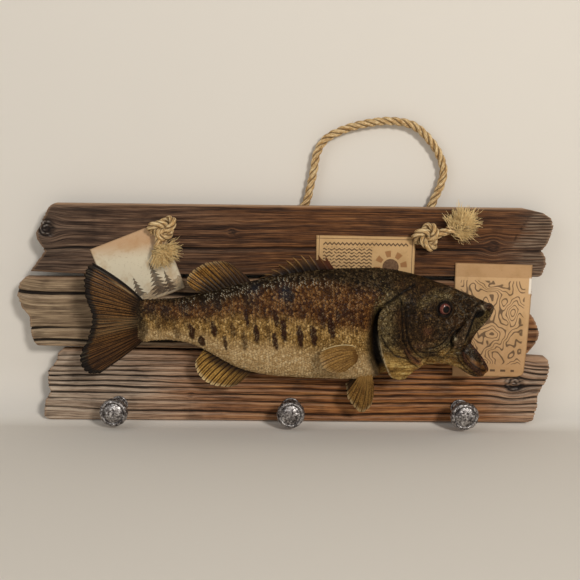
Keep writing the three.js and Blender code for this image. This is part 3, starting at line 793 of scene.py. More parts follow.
def makePlank(name, look):
    seed = look["seed"]
    x, z, fromEnd, fromLow, fromHigh = plankPatch(look)
    fromSide = np.minimum(fromLow, fromHigh)
    grain, dark, glint = addKnots(look, x, z, z + 2.2 * ripple(x / 90, z / 40, seed, 5))
    relief, deep, litRidges = addGrooves(look, x, z, grain)
    if "ridges" in look:
        relief, deep, litRidges = addRidges(look, x, z, relief, deep, litRidges)
    relief = relief + dark * 0.5 - glint * 0.3
    # edges are eased, and the ends more raggedly
    easeEnd = 2.4 + 0.8 * ripple(grain / 2.5, seed, 0, 12)
    relief = relief + 2.6 * np.clip(1 - fromEnd / easeEnd, 0, 1) ** 2
    relief = relief + 1.8 * np.clip(1 - fromSide / 1.8, 0, 1) ** 2
    # edges and ends painted lighter: a painted highlight
    edge = np.clip(1 - np.minimum(fromEnd / 4, fromSide / 2.6), 0, 1)
    # the upper edge is painted pale: a painted highlight
    edge = np.maximum(edge, look.get("rubbed", 0) * peak(fromHigh, 0.9))
    relief = np.clip(relief, 0, 6)
    # ragged ends: the harder grain stands out
    nibble = np.clip(1.4 * ripple(grain / 1.8, seed, 4, 13) ** 2, 0, 1.4) * blend(14, 0, fromEnd)
    x = x + nibble * np.where(x < 0, 1, -1)
    front = np.stack([x, boardFront + relief, z], axis=-1)
    back = np.stack([x, plankBack - 0.4 * np.clip(1 - fromSide / 1.2, 0, 1), z], axis=-1)
    along = np.interp(x + 25 * ripple(x / 60, z / 12, seed, 36), *np.array(look["along"], float).T)
    finishPlank(name, look, front, back, (deep, litRidges, along), (edge, dark, glint), grain)


def finishPlank(name, look, front, back, wood, knot, grain):
    # front and back rows close into one skin that carries the marks
    loop = np.concatenate([front, back[:, ::-1]], axis=1)

    def doubled(*grids):
        return np.stack([np.concatenate([g, g[:, ::-1]], axis=1).ravel() for g in grids], axis=1)

    mesh = makeMesh(name, loop, slabFaces(*grain.shape), wood=doubled(*wood), knot=doubled(*knot),
                    grain=doubled(front[..., 0], grain, np.zeros_like(grain)))
    piece(name, mesh, woodPaint("wood_" + name, look), look["slot"], name.replace("weathered", "plank"))


for name, look in plankLooks.items():
    makePlank(f"weathered_{name}", look)
print("planks")

# ---- battens

battenLooks = {
    "left": (-215, -118, 112),
    "centre": (0, -118, 76),
    "right": (222, -118, 112),
}
battenTones = ("33261c", "6e5a48", "85705b", "9c8871")
battenLook = {"slot": "wood_batten", "cool": battenTones, "warm": battenTones, "width": 42, "front": -11.7}


def makeBatten(name, x, low, high):
    s = np.linspace(low, high, 90)
    wide = battenLook["width"]
    t = np.r_[0, 0.4, 1.2, np.linspace(2.5, wide - 2.5, 26), wide - 1.2, wide - 0.4, wide] - wide / 2
    around = [(u, -0.02 - 0.8 * max(0, abs(u) - wide / 2 + 1.2) ** 2 / 1.44) for u in t]
    loop = np.array(around + [(u, battenLook["front"] + (0.02 - y)) for u, y in around[::-1]])
    points = np.zeros((len(s), len(loop), 3))
    wear = ripple(loop[None, :, 0] / 1.5, s[:, None] / 60, x, 14)
    points[..., 0] = x + loop[:, 0] * (1 - 0.004 * np.abs(ripple(s[:, None] / 9, x, 0, 15)))
    inward = np.where(loop[:, 1] > -6, -1, 1)
    points[..., 1] = loop[:, 1] + inward * 0.25 * np.abs(wear)
    points[..., 2] = s[:, None]
    grain = np.stack([points[..., 2], points[..., 0], np.zeros_like(wear)], axis=-1)
    plain = np.zeros_like(grain)
    faces = [f[:, ::-1] for f in slabFaces(len(s), len(t))]
    mesh = makeMesh(name, points, faces, wood=plain, knot=plain, grain=grain)
    piece(f"rail_{name}", mesh, battenFinish, battenLook["slot"], f"batten_{name}")


battenFinish = woodPaint("wood_rails", battenLook)
for name, (x, low, high) in battenLooks.items():
    makeBatten(name, x, low, high)

# ---- cards

cardBack = boardFront - 0.3
cardThick = 0.6
cardLooks = {
    "left": {"corners": [(-224, 72), (-144, 104), (-115, 29), (-195, -3)], "curl": 0.25, "base": "d6caaf"},
    "centre": {"corners": [(34, 91), (147, 90), (146, 28), (34, 29)], "curl": 0.2, "base": "c6a06e"},
    "right": {"corners": [(193, 61), (281, 59.5), (277, -72), (194, -72)], "curl": 0.3, "base": "c9a274"},
}


def drawPines(paint, across, up, flecks, hills):
    grit = flecks.step(0.4, 0.6)
    brown = paint.mix(grit, "2a1a10", "57422e")
    hill = (hills * 30 - 42 - up).step(0, 1.5) * across.step(-22, -16)
    layers = [
        ((up + across * 0.3).step(10, 34) * 0.75, "b98a5c"),
        (hill * 0.7, paint.mix(grit, "6b5238", "a58a64")),
    ]
    for trunk, top, bottom in ((-9, -6, -30), (15, 3, -36), (27, -12, -37)):
        fall = top - up
        boughs = fall * 0.24 * (0.45 + (fall / 4.6).join("FRACT")) + (flecks - 0.5) * 2
        pine = (boughs - abs(across - trunk)).step(-0.3, 0.5) * up.step(bottom - 1, bottom)
        layers.append((pine * fall.step(0, 0.5) * 0.85, brown))
    return layers


def drawWaves(across, up, flecks):
    # a frame, a zigzag, rows of waves and a sun
    ink = "3a2210"
    apart = abs(abs(across) - 53).join("MINIMUM", abs(abs(up) - 27.6))
    zigzag = abs(across.join("PINGPONG", 2.4) - up + 20.5).step(1.25, 0.8)
    waves = (across * 1.1).join("SINE") * 0.8 + up
    rows = waves.join("PINGPONG", 1.9).step(1.2, 0.6) * across.step(-49, -48) * (1 - across.step(7, 8))
    rows = rows * up.step(-25, -24) * (1 - up.step(17.5, 18.5)) * flecks.step(0.38, 0.46)
    sunX = across - 29
    sunZ = up + 4
    away = (sunX * sunX + sunZ * sunZ).join("SQRT")
    rays = (sunZ.join("ARCTAN2", sunX) * 8).join("SINE").step(-0.3, 0.3)
    rays = rays * away.step(11, 12) * (1 - away.step(18, 19.5))
    return [
        (apart.step(0.6, 0.25) * 0.7, ink),
        (zigzag * (1 - abs(across).step(48, 48.6)) * 0.85, ink),
        (rows * 0.85, ink),
        (rays * 0.75, "8a5526"),
        ((1 - away.step(9, 9.6)) * (0.6 + flecks * 0.5), "4a2a1a"),
    ]


def drawContours(across, up, bends):
    ink = "2f1a0d"
    contour = abs((bends * 17).join("FRACT") - 0.5).step(0.19, 0.09)
    contour = contour * (1 - up.step(46, 47)) * up.step(-52, -50)
    contour = contour * across.step(-38, -36) * (1 - across.step(36, 38))
    bar = ((across + 100) / 6).join("FLOORED_MODULO", 2).step(0.98, 1.02) * up.step(-60, -59.6)
    bar = bar * (1 - up.step(-57.4, -57)) * across.step(-30, -29.8) * (1 - across.step(30, 30.2))
    return [
        (up.step(50, 50.5) * 0.35, "8c6238"),
        (up.step(15, -66) * 0.4, "8f6238"),
        (contour * 0.75, ink),
        (bar * 0.8, ink),
    ]


def cardPaint(name, base):
    paint = Paint("card_" + name)
    place = paint.spot("sheet")
    across, up, edge = paint.parts(place)
    flecks = paint.noise(place, 0.35, 4)
    stains = paint.noise(place, 0.045, 3, 0.6)
    fibre = paint.noise(place, 2.2, 3)
    if name == "left":
        drawing = drawPines(paint, across, up, flecks, paint.noise(place, 0.07, 3))
    elif name == "centre":
        drawing = drawWaves(across, up, flecks)
    else:
        drawing = drawContours(across, up, paint.noise(place, 0.028, 2, 0.4))
    colour = paint.over(
        base,
        (stains.step(0.45, 0.72) * 0.5, "b08a58"),
        (flecks.step(0.56, 0.75) * 0.3, "8d6e47"),
        *drawing,
        (edge.step(1.6, 0.1) * 0.5, "7c5a36"),
    )
    if name == "right":
        # the torn edge shows white
        torn = across.step(40.4, 41.4) * up.step(31, 34) * (1 - up.step(49, 52))
        colour = paint.mix(torn * 0.85, colour, "efe8da")
    return paint.finish(colour, 0.7, fibre + stains, 0.12, Specular_IOR_Level=0.35)


def makeCard(name, look):
    corners = np.array(look["corners"], float)
    across, up = 50, 56
    s, t = np.linspace(0, 1, across)[None, :, None], np.linspace(0, 1, up)[:, None, None]
    lower = (1 - s) * corners[3] + s * corners[2]
    upper = (1 - s) * corners[0] + s * corners[1]
    flat = (1 - t) * lower + t * upper
    if name == "right":
        # the worn right edge and its rounded lower corner
        z = flat[..., 1]
        start = 193.6
        reach = np.interp(z, [-72, -71, -69, -66, -40, 12, 60], [269, 273, 276, 277, 279, 281, 281])
        flat[..., 0] = start + (flat[..., 0] - start) * ((reach - start) / (flat[:, -1:, 0] - start))
    middle = flat.mean(axis=(0, 1))
    x, z = flat[..., 0], flat[..., 1]
    u, v = np.linspace(-1, 1, across)[None, :] + 0 * x, np.linspace(-1, 1, up)[:, None] + 0 * x
    lift = look["curl"] * (np.abs(u) ** 6 + np.abs(v) ** 6) * (0.6 + 0.6 * ripple(x / 20, z / 20, 0, 16))
    lift = np.maximum(lift + 0.05, 0)
    back = np.stack([x, cardBack - lift, z], axis=-1)
    front = np.stack([x, cardBack - cardThick - lift, z], axis=-1)
    wide, tall = np.ptp(x[0]) / 2, np.ptp(z[:, 0]) / 2
    edge = np.minimum((1 - np.abs(u)) * wide, (1 - np.abs(v)) * tall)
    tilt = math.atan2(corners[1][1] - corners[0][1], corners[1][0] - corners[0][0])
    dx, dz = x - middle[0], z - middle[1]
    turned = dx * math.cos(tilt) + dz * math.sin(tilt), dz * math.cos(tilt) - dx * math.sin(tilt)
    sheet = np.stack([*turned, edge], axis=-1)
    mesh = makeMesh(name, np.stack([front, back]), [sheetFaces(up, across)], sheet=np.stack([sheet, sheet]))
    piece(f"sheet_{name}", mesh, cardPaint(name, look["base"]), "card_paper", f"card_{name}")


for name, look in cardLooks.items():
    makeCard(name, look)
print("cards")

# ---- coat knobs

knobLook = {
    "height": -110,
    "spots": {"left": -194, "middle": 7, "right": 204},
    # radius and height over the board
    "profile": [
        (0, 0), (10.2, 0), (10.4, 0.5), (10.4, 1.4), (9.8, 1.9), (8.6, 2.3), (8.9, 3), (8.2, 3.8),
        (6.8, 5), (6.1, 7), (5.9, 11), (6, 16), (7, 19.5), (8.4, 21.5), (8.3, 22.3), (10.4, 23.6),
        (13.2, 25.8), (15.2, 29), (16, 32), (15.9, 34.4), (15.3, 36.3), (14.2, 37.8), (12.9, 38.4),
        (12, 38.2), (11.6, 37.6), (11, 37.7), (9, 38.6), (6, 39.5), (3, 39.9), (0, 40),
    ],
}


def pewterPaint():
    paint = Paint("knob_metal")
    place = paint.spot()
    mottle = paint.noise(place, 420, 4, 0.65, 0.6)
    broad = paint.noise(place, 130, 3)
    tone = mottle * 0.7 + broad * 0.3
    metal = paint.ramp(tone, (0.34, "1f1b1a"), (0.45, "544e4c"), (0.54, "9d9793"), (0.66, "f2efec"))
    colour = paint.mix(paint.mark("hollow") * 0.8, metal, "141110")
    rough = 0.5 - tone * 0.25
    return paint.finish(colour, rough, mottle, 0.5, Metallic=0.8)


knobFinish = pewterPaint()


def makeKnob(name, x):
    profile = curveThrough([(r, h, 0) for r, h in knobLook["profile"]], 90)
    sides = 96
    turn = circle(sides)[None, :]
    foot, middle = boardFront - 0.3, knobLook["height"]
    r, h = profile[1:-1, 0:1], profile[1:-1, 1:2]
    dent = 0.28 * ripple(r * np.cos(turn) / 1.7, r * np.sin(turn) / 1.7, h / 1.7 + x, 17)
    dent = dent + 0.35 * peak(h - 31, 4) * np.cos(turn * 14) * blend(12, 15, r)
    rr = np.maximum(r + dent * blend(6, 14, r), 0.05)
    hh = h + dent * blend(30, 37, h)
    rings = np.stack([x + rr * np.cos(turn), foot - hh, middle + rr * np.sin(turn)], axis=-1)
    points, faces = closedLoft(rings, [(x, foot, middle), (x, foot - profile[-1, 1], middle)])
    curveIn = np.gradient(np.gradient(r[:, 0]))[:, None]
    hollow = blend(0.0, 0.02, curveIn) * 0.8 * blend(24, 20, h)
    groove = peak(h - 37.7, 0.5) * blend(10.2, 11.2, r) * blend(12.6, 12, r)
    hollow = np.repeat(np.maximum(hollow, groove), sides)
    mesh = makeMesh(name, points, faces, hollow=np.r_[hollow, 0, 0])
    piece(f"coat_{name}", mesh, knobFinish, "knob_metal", f"knob_{name}")


for name, x in knobLook["spots"].items():
    makeKnob(name, x)
print("knobs")

# ---- the fish's own measures: x along it, z up, side towards the viewer

cardFace = boardFront - 1.2          # nothing of the fish lies behind this
midHeight = through([
    (-232, 52), (-165, 40), (-130, 35.5), (-100, 32.5), (-60, 29.5), (0, 27.5),
    (60, 27), (108, 28), (150, 30.5), (180, 34), (200, 38.5), (228, 49),
])
backLine = through([
    (-166.8, 10), (-164.3, 16), (-161, 19.8), (-157, 21.2), (-150, 21.3), (-116, 23), (-88, 28.5),
    (-60, 36), (-28, 43.5), (0, 49.5), (30, 54), (71, 56.5), (108, 57), (127, 55), (145, 51), (163, 45),
    (181, 39.5), (199, 32), (217, 24.5), (228, 20),
])
bellyLine = through([
    (-166.8, -16), (-164.3, -21.5), (-161, -25.2), (-157, -26.5), (-150, -25.5), (-131, -24.5),
    (-100, -31), (-83, -40), (-53, -56.5), (-31, -62.5), (-9, -65.8), (12, -67), (51, -68.3),
    (86, -67.8), (105, -65), (125, -58), (145, -52), (170, -46),
])
headLowLine = through([
    (100, -65.5), (125, -58), (145, -52.5), (162, -50.5), (173, -48), (181, -42), (188, -31),
    (197, -14), (204, 0), (211, 8.5), (221, 14), (230, 17),
])
halfWidth = through([
    (-166.5, 0.6), (-162.5, 2.8), (-157, 6.0), (-150, 8.5), (-116, 13.5), (-88, 19), (-60, 24.5),
    (-28, 29.5), (0, 32), (45, 33.5), (90, 33.5), (125, 31.5), (150, 29), (172, 25.5), (190, 21),
    (205, 17), (216, 12), (228, 6),
])
sectionPower = 2.25


def turnAt(x):
    return np.arctan2(midHeight(x + 1) - midHeight(x - 1), 2)


def place(x, side, z):
    turn = turnAt(x)
    y = np.minimum(boardFront - midHeight(x) - side * np.cos(turn), cardFace)
    return np.stack(np.broadcast_arrays(x - side * np.sin(turn), y, z), axis=-1)


def measure(points):
    # back from the board's frame to the fish's own x and side
    x = points[:, 0].copy()
    for _ in range(4):
        turn = turnAt(x)
        side = -(points[:, 1] - boardFront + midHeight(x)) / np.cos(turn)
        x = points[:, 0] + side * np.sin(turn)
    return x, side, points[:, 2]


def lowAt(x):
    t = blend(100, 108, x)
    return bellyLine(x) * (1 - t) + headLowLine(x) * t


def widest(top, low):
    # the height at which the body is widest
    return (top + low) / 2 + 0.03 * (top - low)


def bodyPoint(x, turn, grow=0.0):
    # turn runs round the body from the near flank, up over the back
    top = backLine(x) + grow
    low = lowAt(x) - grow
    middle = widest(top, low)
    across, up = np.cos(turn), np.sin(turn)
    side = (halfWidth(x) + grow) * np.sign(across) * np.abs(across) ** (2 / sectionPower)
    reach = np.where(up > 0, top - middle, middle - low)
    z = middle + reach * np.sign(up) * np.abs(up) ** (2 / sectionPower)
    return place(x, side, z), side, z


def nearSide(x, z, hang=0.0):
    # how far the near skin stands from the middle plane
    top = backLine(x)
    low = lowAt(x) - hang
    middle = widest(top, low)
    up = np.abs(np.where(z > middle, (z - middle) / (top - middle), (middle - z) / (middle - low)))
    return halfWidth(x) * (1 - np.minimum(up, 0.985) ** sectionPower) ** (1 / sectionPower)


# ---- lines of the head, in the fish's x and z

headLines = {
    "gillRim": [(140.4, 41.3), (128, 36.3), (114.2, 23.6), (103.9, 13.9), (101.4, -1.4), (103.3, -16.5),
                (106.5, -31.8), (111.5, -47), (118.2, -61.4), (121, -63.8), (127, -64.8), (133.2, -67.2),
                (136, -63.8), (146.8, -52.5), (158.7, -43.1)],
    "preopercle": [(124, 34), (127, 26.6), (128.5, 10.4), (129, -6.1), (130.5, -17.5), (133.9, -25.6),
                   (139.2, -34.1), (148.9, -41.9)],
    "inner": [(131.7, 18), (133.3, -0.6), (135, -15.2), (140, -25.6), (147.3, -34.1), (154.1, -37.9)],
    "opercle": [(105.5, -12), (109.7, -20.9), (120.1, -33.7), (136.7, -39.4)],
    "interopercle": [(131.1, -27.1), (138.7, -42.1), (147, -47.7)],
    "cheek": [(150, -30), (158.3, -32.7), (170.9, -31.7), (182.3, -23.4), (188, -15.4)],
    "throat": [(176, -33), (183.6, -32.8), (196.5, -46.2), (206, -54)],
    "maxilla": [(200.5, -1), (197, -4.5), (192, -8), (187.3, -13), (185.8, -19), (187.5, -26)],
    "cleft": [(209, 12), (205.8, 3), (204, -5.6), (202.8, -13), (200.4, -18.8), (198, -23)],
    "outerLip": [(192.5, -31), (195.2, -41.5), (201.2, -49.5), (208.5, -55.6), (216.5, -59.6),
                 (222.5, -60.4)],
    "innerLip": [(199.7, -31.5), (201, -38.6), (206, -45.2), (212.4, -50.7), (218.8, -54.3), (222.8, -54.6)],
    "noseCrease": [(219, 26.5), (215.3, 23.4), (211, 19)],
    "folds": [(157, -28), (166, -27), (176, -21.5), (182.5, -13.5), (190, -2)],
    "nape": [(142, 42), (133.5, 37.5), (120, 29), (109, 21)],
    "noseRim": [(215.5, 22.5), (218.6, 19.5), (220.6, 15), (219.5, 10.5)],
    "slot": [(98, 24), (94.1, 4.7), (95, -14), (97.2, -29), (101.8, -53.8), (106, -62)],
}
eyeAt = (176.5, 17)
eyeRadius = 7.6
eyeDepth = 3.4
ring = bodyPoint(np.full(2881, eyeAt[0]), np.linspace(-math.pi, math.pi, 2881))


def eyeCentre(side):
    spots, sides, heights = ring
    misses = np.abs(heights - eyeAt[1]) + 1000 * (np.sign(sides) != side)
    return spots[np.argmin(misses)] + (0, side * eyeDepth, 0)


eyeCentres = {"near": eyeCentre(1), "far": eyeCentre(-1)}

# ---- skin: body, gill cover, lips and jaw grown together

skinLook = {"voxel": 0.75, "smooth": 4, "under": -0.5}


def slotEdge(z):
    # where the body sinks away behind the gill cover
    return np.interp(z, [-66, -52, -35, -14, 9, 18, 26], [106, 100, 93.5, 92, 95.5, 99, 104])


def bodyForm():
    xs = np.r_[np.arange(-166.6, -156, 0.8), np.arange(-156, 88, 2.5), np.arange(88, 221.1, 1.0)][:, None]
    turn = circle(220)[None, :]
    side, z = bodyPoint(xs, turn)[1:]
    # the open gill slot behind the cover
    slot = blend(0, 4.5, xs - slotEdge(z)) * (1 - blend(112, 120, xs)) * blend(-67, -60, z)
    slot = slot * (1 - blend(8, 25, z)) * (side > 0)
    grow = skinLook["under"] - 9 * slot
    return closedLoft(bodyPoint(xs, turn, grow)[0])


def coverForm():
    rim = headLines["gillRim"] + [(166, -30), (164, -5), (156, 18), (149, 36)]
    edge = curveThrough([(x, z, 0) for x, z in rim], 241, True)[:-1, :2]
    centre = np.array([133, -10])
    f = np.linspace(0.03, 1, 46)[:, None]
    x = centre[0] + (edge[:, 0] - centre[0])[None] * f
    z = centre[1] + (edge[:, 1] - centre[1])[None] * f
    front = blend(146, 160, x + 0.15 * z)
    base = nearSide(x, z, 15 * blend(-8, -45, z) * (1 - front))
    eased = 1 - np.sqrt(np.clip(1 - f ** 14, 0, 1))
    lift = 2.3 + 1.6 * blend(118, 104, x)
    outer = base + (lift - 4.5 * front) - 1.2 * eased
    inner = base + lift - 2.9 - 6 * front + 0.9 * eased
    inner = np.minimum(inner, outer - 0.8)
    sheets = [place(x, outer, z), place(x, inner, z)]
    rows, columns = x.shape
    total = rows * columns
    hubs = [sheet[0].mean(axis=0) for sheet in sheets]
    j = np.arange(columns)
    k = (j + 1) % columns
    faces = [gridFaces(rows, columns, True), gridFaces(rows, columns, True, total, True)]
    last = total - columns
    faces.append(np.stack([j + last, k + last, k + last + total, j + last + total], 1))
    faces.append(np.stack([k, j, 0 * j + 2 * total], 1))
    faces.append(np.stack([j + total, k + total, 0 * j + 2 * total + 1], 1))
    return np.vstack([sheets[0].reshape(-1, 3), sheets[1].reshape(-1, 3), hubs]), faces


bladeRoute = [(207.5, -86, 18.5), (203, -88.7, 9.5), (198, -90.2, 0.5), (193.5, -90.8, -8.5),
              (189.6, -90, -17.5), (189, -87.5, -26.5)]
bladeWidths = [1.6, 2.1, 2.8, 4.2, 5.9, 5.0]
lipRoute = [
    (209.5, -81.3, 19.7), (217.2, -81.3, 20.3), (224.6, -77.7, 18.2), (225.2, -72.9, 11.4),
    (219.8, -67.6, -0.6), (212.5, -64.0, -11.4), (207.4, -61.5, -21.8), (206.2, -60.9, -29.0),
]
lipThick = 2.2
lipRadii = [2.6, 3.2, 3.7, 3.0, 2.6, 2.4, 2.3, 2.1]
jawStations = [
    [(173, -76, -38), (178, -58, -38), (170, -66, -47.5), (174, -67, -40)],
    [(195.5, -85.3, -31.5), (207.5, -61.5, -27), (187, -67, -50.5), (195.5, -71.5, -41)],
    [(198.5, -84, -40.5), (212.8, -62.5, -33.2), (199, -67.5, -54.8), (201, -71.5, -48)],
    [(204, -82, -47.5), (218.5, -65, -40), (208.5, -68.5, -60.5), (209.5, -72.3, -54.5)],
    [(210.5, -79.5, -53), (223.3, -68.5, -47.6), (217.5, -70.5, -62), (216.3, -73, -57.3)],
    [(218, -76, -57.2), (225.5, -72, -54), (222, -72, -61), (221.8, -73.8, -58)],
]


def lipForm():
    line = curveThrough(lipRoute, 120)
    steps = np.linspace(0, 1, 120)
    radii = through([(i / 7, r) for i, r in enumerate(lipRadii)])(steps)
    ends = np.sqrt(np.clip(1 - np.abs(2 * steps - 1) ** 24, 0.05, 1))
    return tube(line, (radii * ends)[:, None], 28)


def bladeWidth(steps):
    widths = through([(i / 5, w) for i, w in enumerate(bladeWidths)])(steps)
    return widths * np.sqrt(np.clip(1 - blend(0.8, 1, steps) ** 2 * 0.98, 0.02, 1))


def bladeForm():
    # the near upper jaw bone, a flat blade with a round end
    line = curveThrough(bladeRoute, 90)
    points, faces = tube(line, bladeWidth(np.linspace(0, 1, 90))[:, None], 28)
    middle = np.vstack([np.repeat(line, 28, axis=0), line[:1], line[-1:]])
    points[:, 1] = middle[:, 1] + (points[:, 1] - middle[:, 1]) * 0.5
    return points, faces


def jawForm():
    stations = np.array(jawStations, float)
    rows = 44
    tracks = [curveThrough(stations[:, k], rows) for k in range(4)]
    near, far, keel, floor = tracks
    inward = unit(far - near) * lipThick
    s = np.linspace(0, 1, 15)[None, :, None]
    t = np.linspace(0, 1, 21)[None, :, None]
    rings = [bend(near + inward, floor, far - inward, s), bend(far, keel, near, t)]
    return closedLoft(np.concatenate(rings, axis=1))


def palateForm():
    # the roof of the mouth, hollow between the near blade and the far lip
    near, far = curveThrough(bladeRoute[::-1], 54), curveThrough(lipRoute[:1:-1], 54)
    middle = (near + far) / 2
    t = np.linspace(0, 1, len(near))[:, None]
    inward = unit(np.array([-0.8, 0, 0.45]) * (1 - t) + np.array([-0.8, 0.1, -0.1]) * t)
    deep = 2.5 + 6.5 * t ** 1.5 * (1 - t ** 8)
    palate = middle + inward * deep
    keel = middle + inward * (deep + 7)
    s = np.linspace(0.0, 1, 15)[None, :, None]
    thick = inward * lipThick
    rings = [bend(near, palate, far, s), bend(far + thick, keel, near + thick, s)]
    return closedLoft(np.concatenate(rings, axis=1))


jawRim = [p[0] for p in jawStations[1:]] + [p[1] for p in jawStations[:0:-1]]


def rimForm():
    return tube(curveThrough(jawRim, 120), 1.6, 16)


def faceOutward(mesh):
    # an even closed skin has its faces turned the same way; flip it when it is inside out
    work = bmesh.new()
    work.from_mesh(mesh)
    bmesh.ops.recalc_face_normals(work, faces=work.faces)
    work.to_mesh(mesh)
    work.free()


def baked(made):
    # the object's mesh with its modifiers worked in
    made.update_tag()
    bpy.context.view_layer.update()
    graph = bpy.context.evaluated_depsgraph_get()
    mesh = bpy.data.meshes.new_from_object(made.evaluated_get(graph))
    bpy.data.objects.remove(made)
    return mesh


def growTogether(name, forms, voxel, smooth):
    points, faces = joined(forms)
    mesh = makeMesh(name + "_forms", points, faces)
    faceOutward(mesh)
    made = addObject(name + "_forms", mesh)
    remesh = made.modifiers.new("grown", "REMESH")
    remesh.mode = "VOXEL"
    remesh.voxel_size = voxel * mm
    relax = made.modifiers.new("relaxed", "SMOOTH")
    relax.iterations = smooth
    return baked(made)


def carve(mesh, forms):
    points, faces = joined(forms)
    cutMesh = makeMesh("carving", points, faces)
    faceOutward(cutMesh)
    cutter = addObject("carving", cutMesh)
    made = addObject("carved", mesh)
    cut = made.modifiers.new("cut", "BOOLEAN")
    cut.operation = "DIFFERENCE"
    cut.solver = "MANIFOLD"
    cut.object = cutter
    result = baked(made)
    bpy.data.objects.remove(cutter)
    return result


def vertexArray(mesh):
    spots = np.zeros(len(mesh.vertices) * 3)
    mesh.vertices.foreach_get("co", spots)
    normals = np.zeros(len(mesh.vertices) * 3)
    mesh.vertex_normals.foreach_get("vector", normals)
    return spots.reshape(-1, 3) / mm, normals.reshape(-1, 3)


def ballForm(centre, radius, rows=24, columns=36):
    lat = np.linspace(-math.pi / 2, math.pi / 2, rows)[1:-1, None]
    lon = circle(columns)[None, :]
    ball = np.stack([np.cos(lat) * np.cos(lon), np.cos(lat) * np.sin(lon), np.sin(lat) + 0 * lon], -1)
    return closedLoft(ball * radius + centre)


skinForms = [bodyForm(), coverForm(), lipForm(), bladeForm(), palateForm(), jawForm(), rimForm()]
skinMesh = growTogether("skin", skinForms, skinLook["voxel"], skinLook["smooth"])
mouth = [(203, -72, -30), (197, -73, -31), (188, -73, -33), (178, -71, -35), (170, -68, -36)]
mouth = curveThrough(mouth, 40)
mouthWide = through([(0, 1.5), (0.3, 4.5), (0.6, 6.5), (0.85, 6), (1, 3)])(np.linspace(0, 1, len(mouth)))
sockets = [ballForm(centre, eyeRadius - 0.9) for centre in eyeCentres.values()]
skinMesh = carve(skinMesh, [tube(mouth, mouthWide[:, None], 28)] + sockets)
print("skin:", len(skinMesh.vertices), "points")


def headRelief(x, z):
    # folds and edges of the near side of the head, in millimetres
    reliefs = {
        "preopercle": (1.3, 1.5), "inner": (1.2, 1.1), "opercle": (1.0, 0.9), "interopercle": (1.1, 1.2),
        "cheek": (1.2, 0.8), "throat": (1.1, 0.9), "maxilla": (1.2, 1.6), "folds": (1.0, 0.7),
        "nape": (1.5, 1.0), "noseCrease": (1.6, 2.6),
    }
    relief = np.zeros_like(x)
    for name, (width, depth) in reliefs.items():
        relief -= depth * peak(nearLine(x, z, headLines[name]), width)
    # shift along the fish, width and height of the swellings beside the folds
    swellings = {
        "preopercle": (-2.6, 1.9, 1.0), "inner": (2.8, 1.8, 0.6), "cheek": (0, 3.6, 0.7),
        "opercle": (-1.8, 1.6, 0.5), "interopercle": (2.2, 1.6, 0.7),
    }
    for name, (shift, width, height) in swellings.items():
        shifted = [(a + shift, b) for a, b in headLines[name]]
        relief += height * peak(nearLine(x, z, shifted), width)
    eye = np.hypot(x - eyeAt[0] - 0.6, z - eyeAt[1])
    relief += 1.2 * peak(eye - 9.2, 1.5) - 0.9 * peak(eye - 12.2, 1.5)
    relief -= 1.0 * oval(x, z, 136, 14, 7, 13)
    for a, b in ((194.3, 25.3), (199.2, 22.3)):
        relief -= 1.3 * peak(np.hypot(x - a, z - b), 1.2)
    grain = 0.55 * ripple(x / 5.5, z / 5.5, 0, 18) + 0.4 * ripple(x / 2.3, z / 2.3, 0, 19)
    # the snout's skin is drawn into fine lines that run to the lip
    drawn = 0.5 * np.abs(ripple((x + 0.8 * z) / 9, (z - 0.8 * x) / 2.1, 0, 37)) * blend(180, 192, x)
    return relief + grain - drawn


def insideMouth(spots):
    # 1 on the palate and on the jaw's floor
    best = np.full(len(spots), 1e9)
    for spot in np.vstack([mouthCore, jawCore]):
        best = np.minimum(best, np.linalg.norm(spots - spot, axis=1))
    return blend(8.0, 5.5, best)


mouthCore = [(220, -73, 9), (213, -73, 0), (208, -73, -8), (203, -72, -18), (198, -70, -28)]
mouthCore = curveThrough(mouthCore, 30)
jawCore = curveThrough([(199, -73, -37), (206, -73, -44), (213, -72.5, -51), (219.5, -73, -55.5)], 24)


def sculptSkin(mesh):
    spots, normals = vertexArray(mesh)
    x, side, z = measure(spots)
    near = ((side > 4) & (normals[:, 1] < -0.15)) | ((x > 205) & (z > 20) & (side > -6))
    head = blend(96, 104, x) * near * (1 - insideMouth(spots) * 0.8)
    spots += normals * (headRelief(x, z) * head)[:, None]
    spots[:, 1] = np.minimum(spots[:, 1], cardFace)
    mesh.vertices.foreach_set("co", (spots * mm).ravel())
    mesh.update()
    return spots


skinSpots = sculptSkin(skinMesh)


# ---- markings, the same for the skin and for the scales

markLines = {
    "back": through([(-175, 20), (-150, 17), (-117, 15), (-84, 18.5), (-40, 31), (15, 42), (60, 41.5),
                     (93, 35), (112, 27), (230, 20)]),
    "cream": through([(-175, -16), (-150, -13.5), (-106, -16), (-62, -25), (-17, -26.5), (27, -31),
                      (60, -32), (94, -38), (230, -42)]),
    "sheen": through([(-175, 15), (-106, 18.6), (-84, 24.3), (-62, 30.1), (-40, 34.9), (-20, 39.5),
                      (-9, 41.5), (30, 43), (230, 40)]),
    "warm": through([(-175, 4), (-150, 2), (-117, -3), (-95, 0), (-50, 4.5), (-17, 3), (16, 1.5), (49, -4.5),
                     (71, -8), (100, -14), (230, -14)]),
}
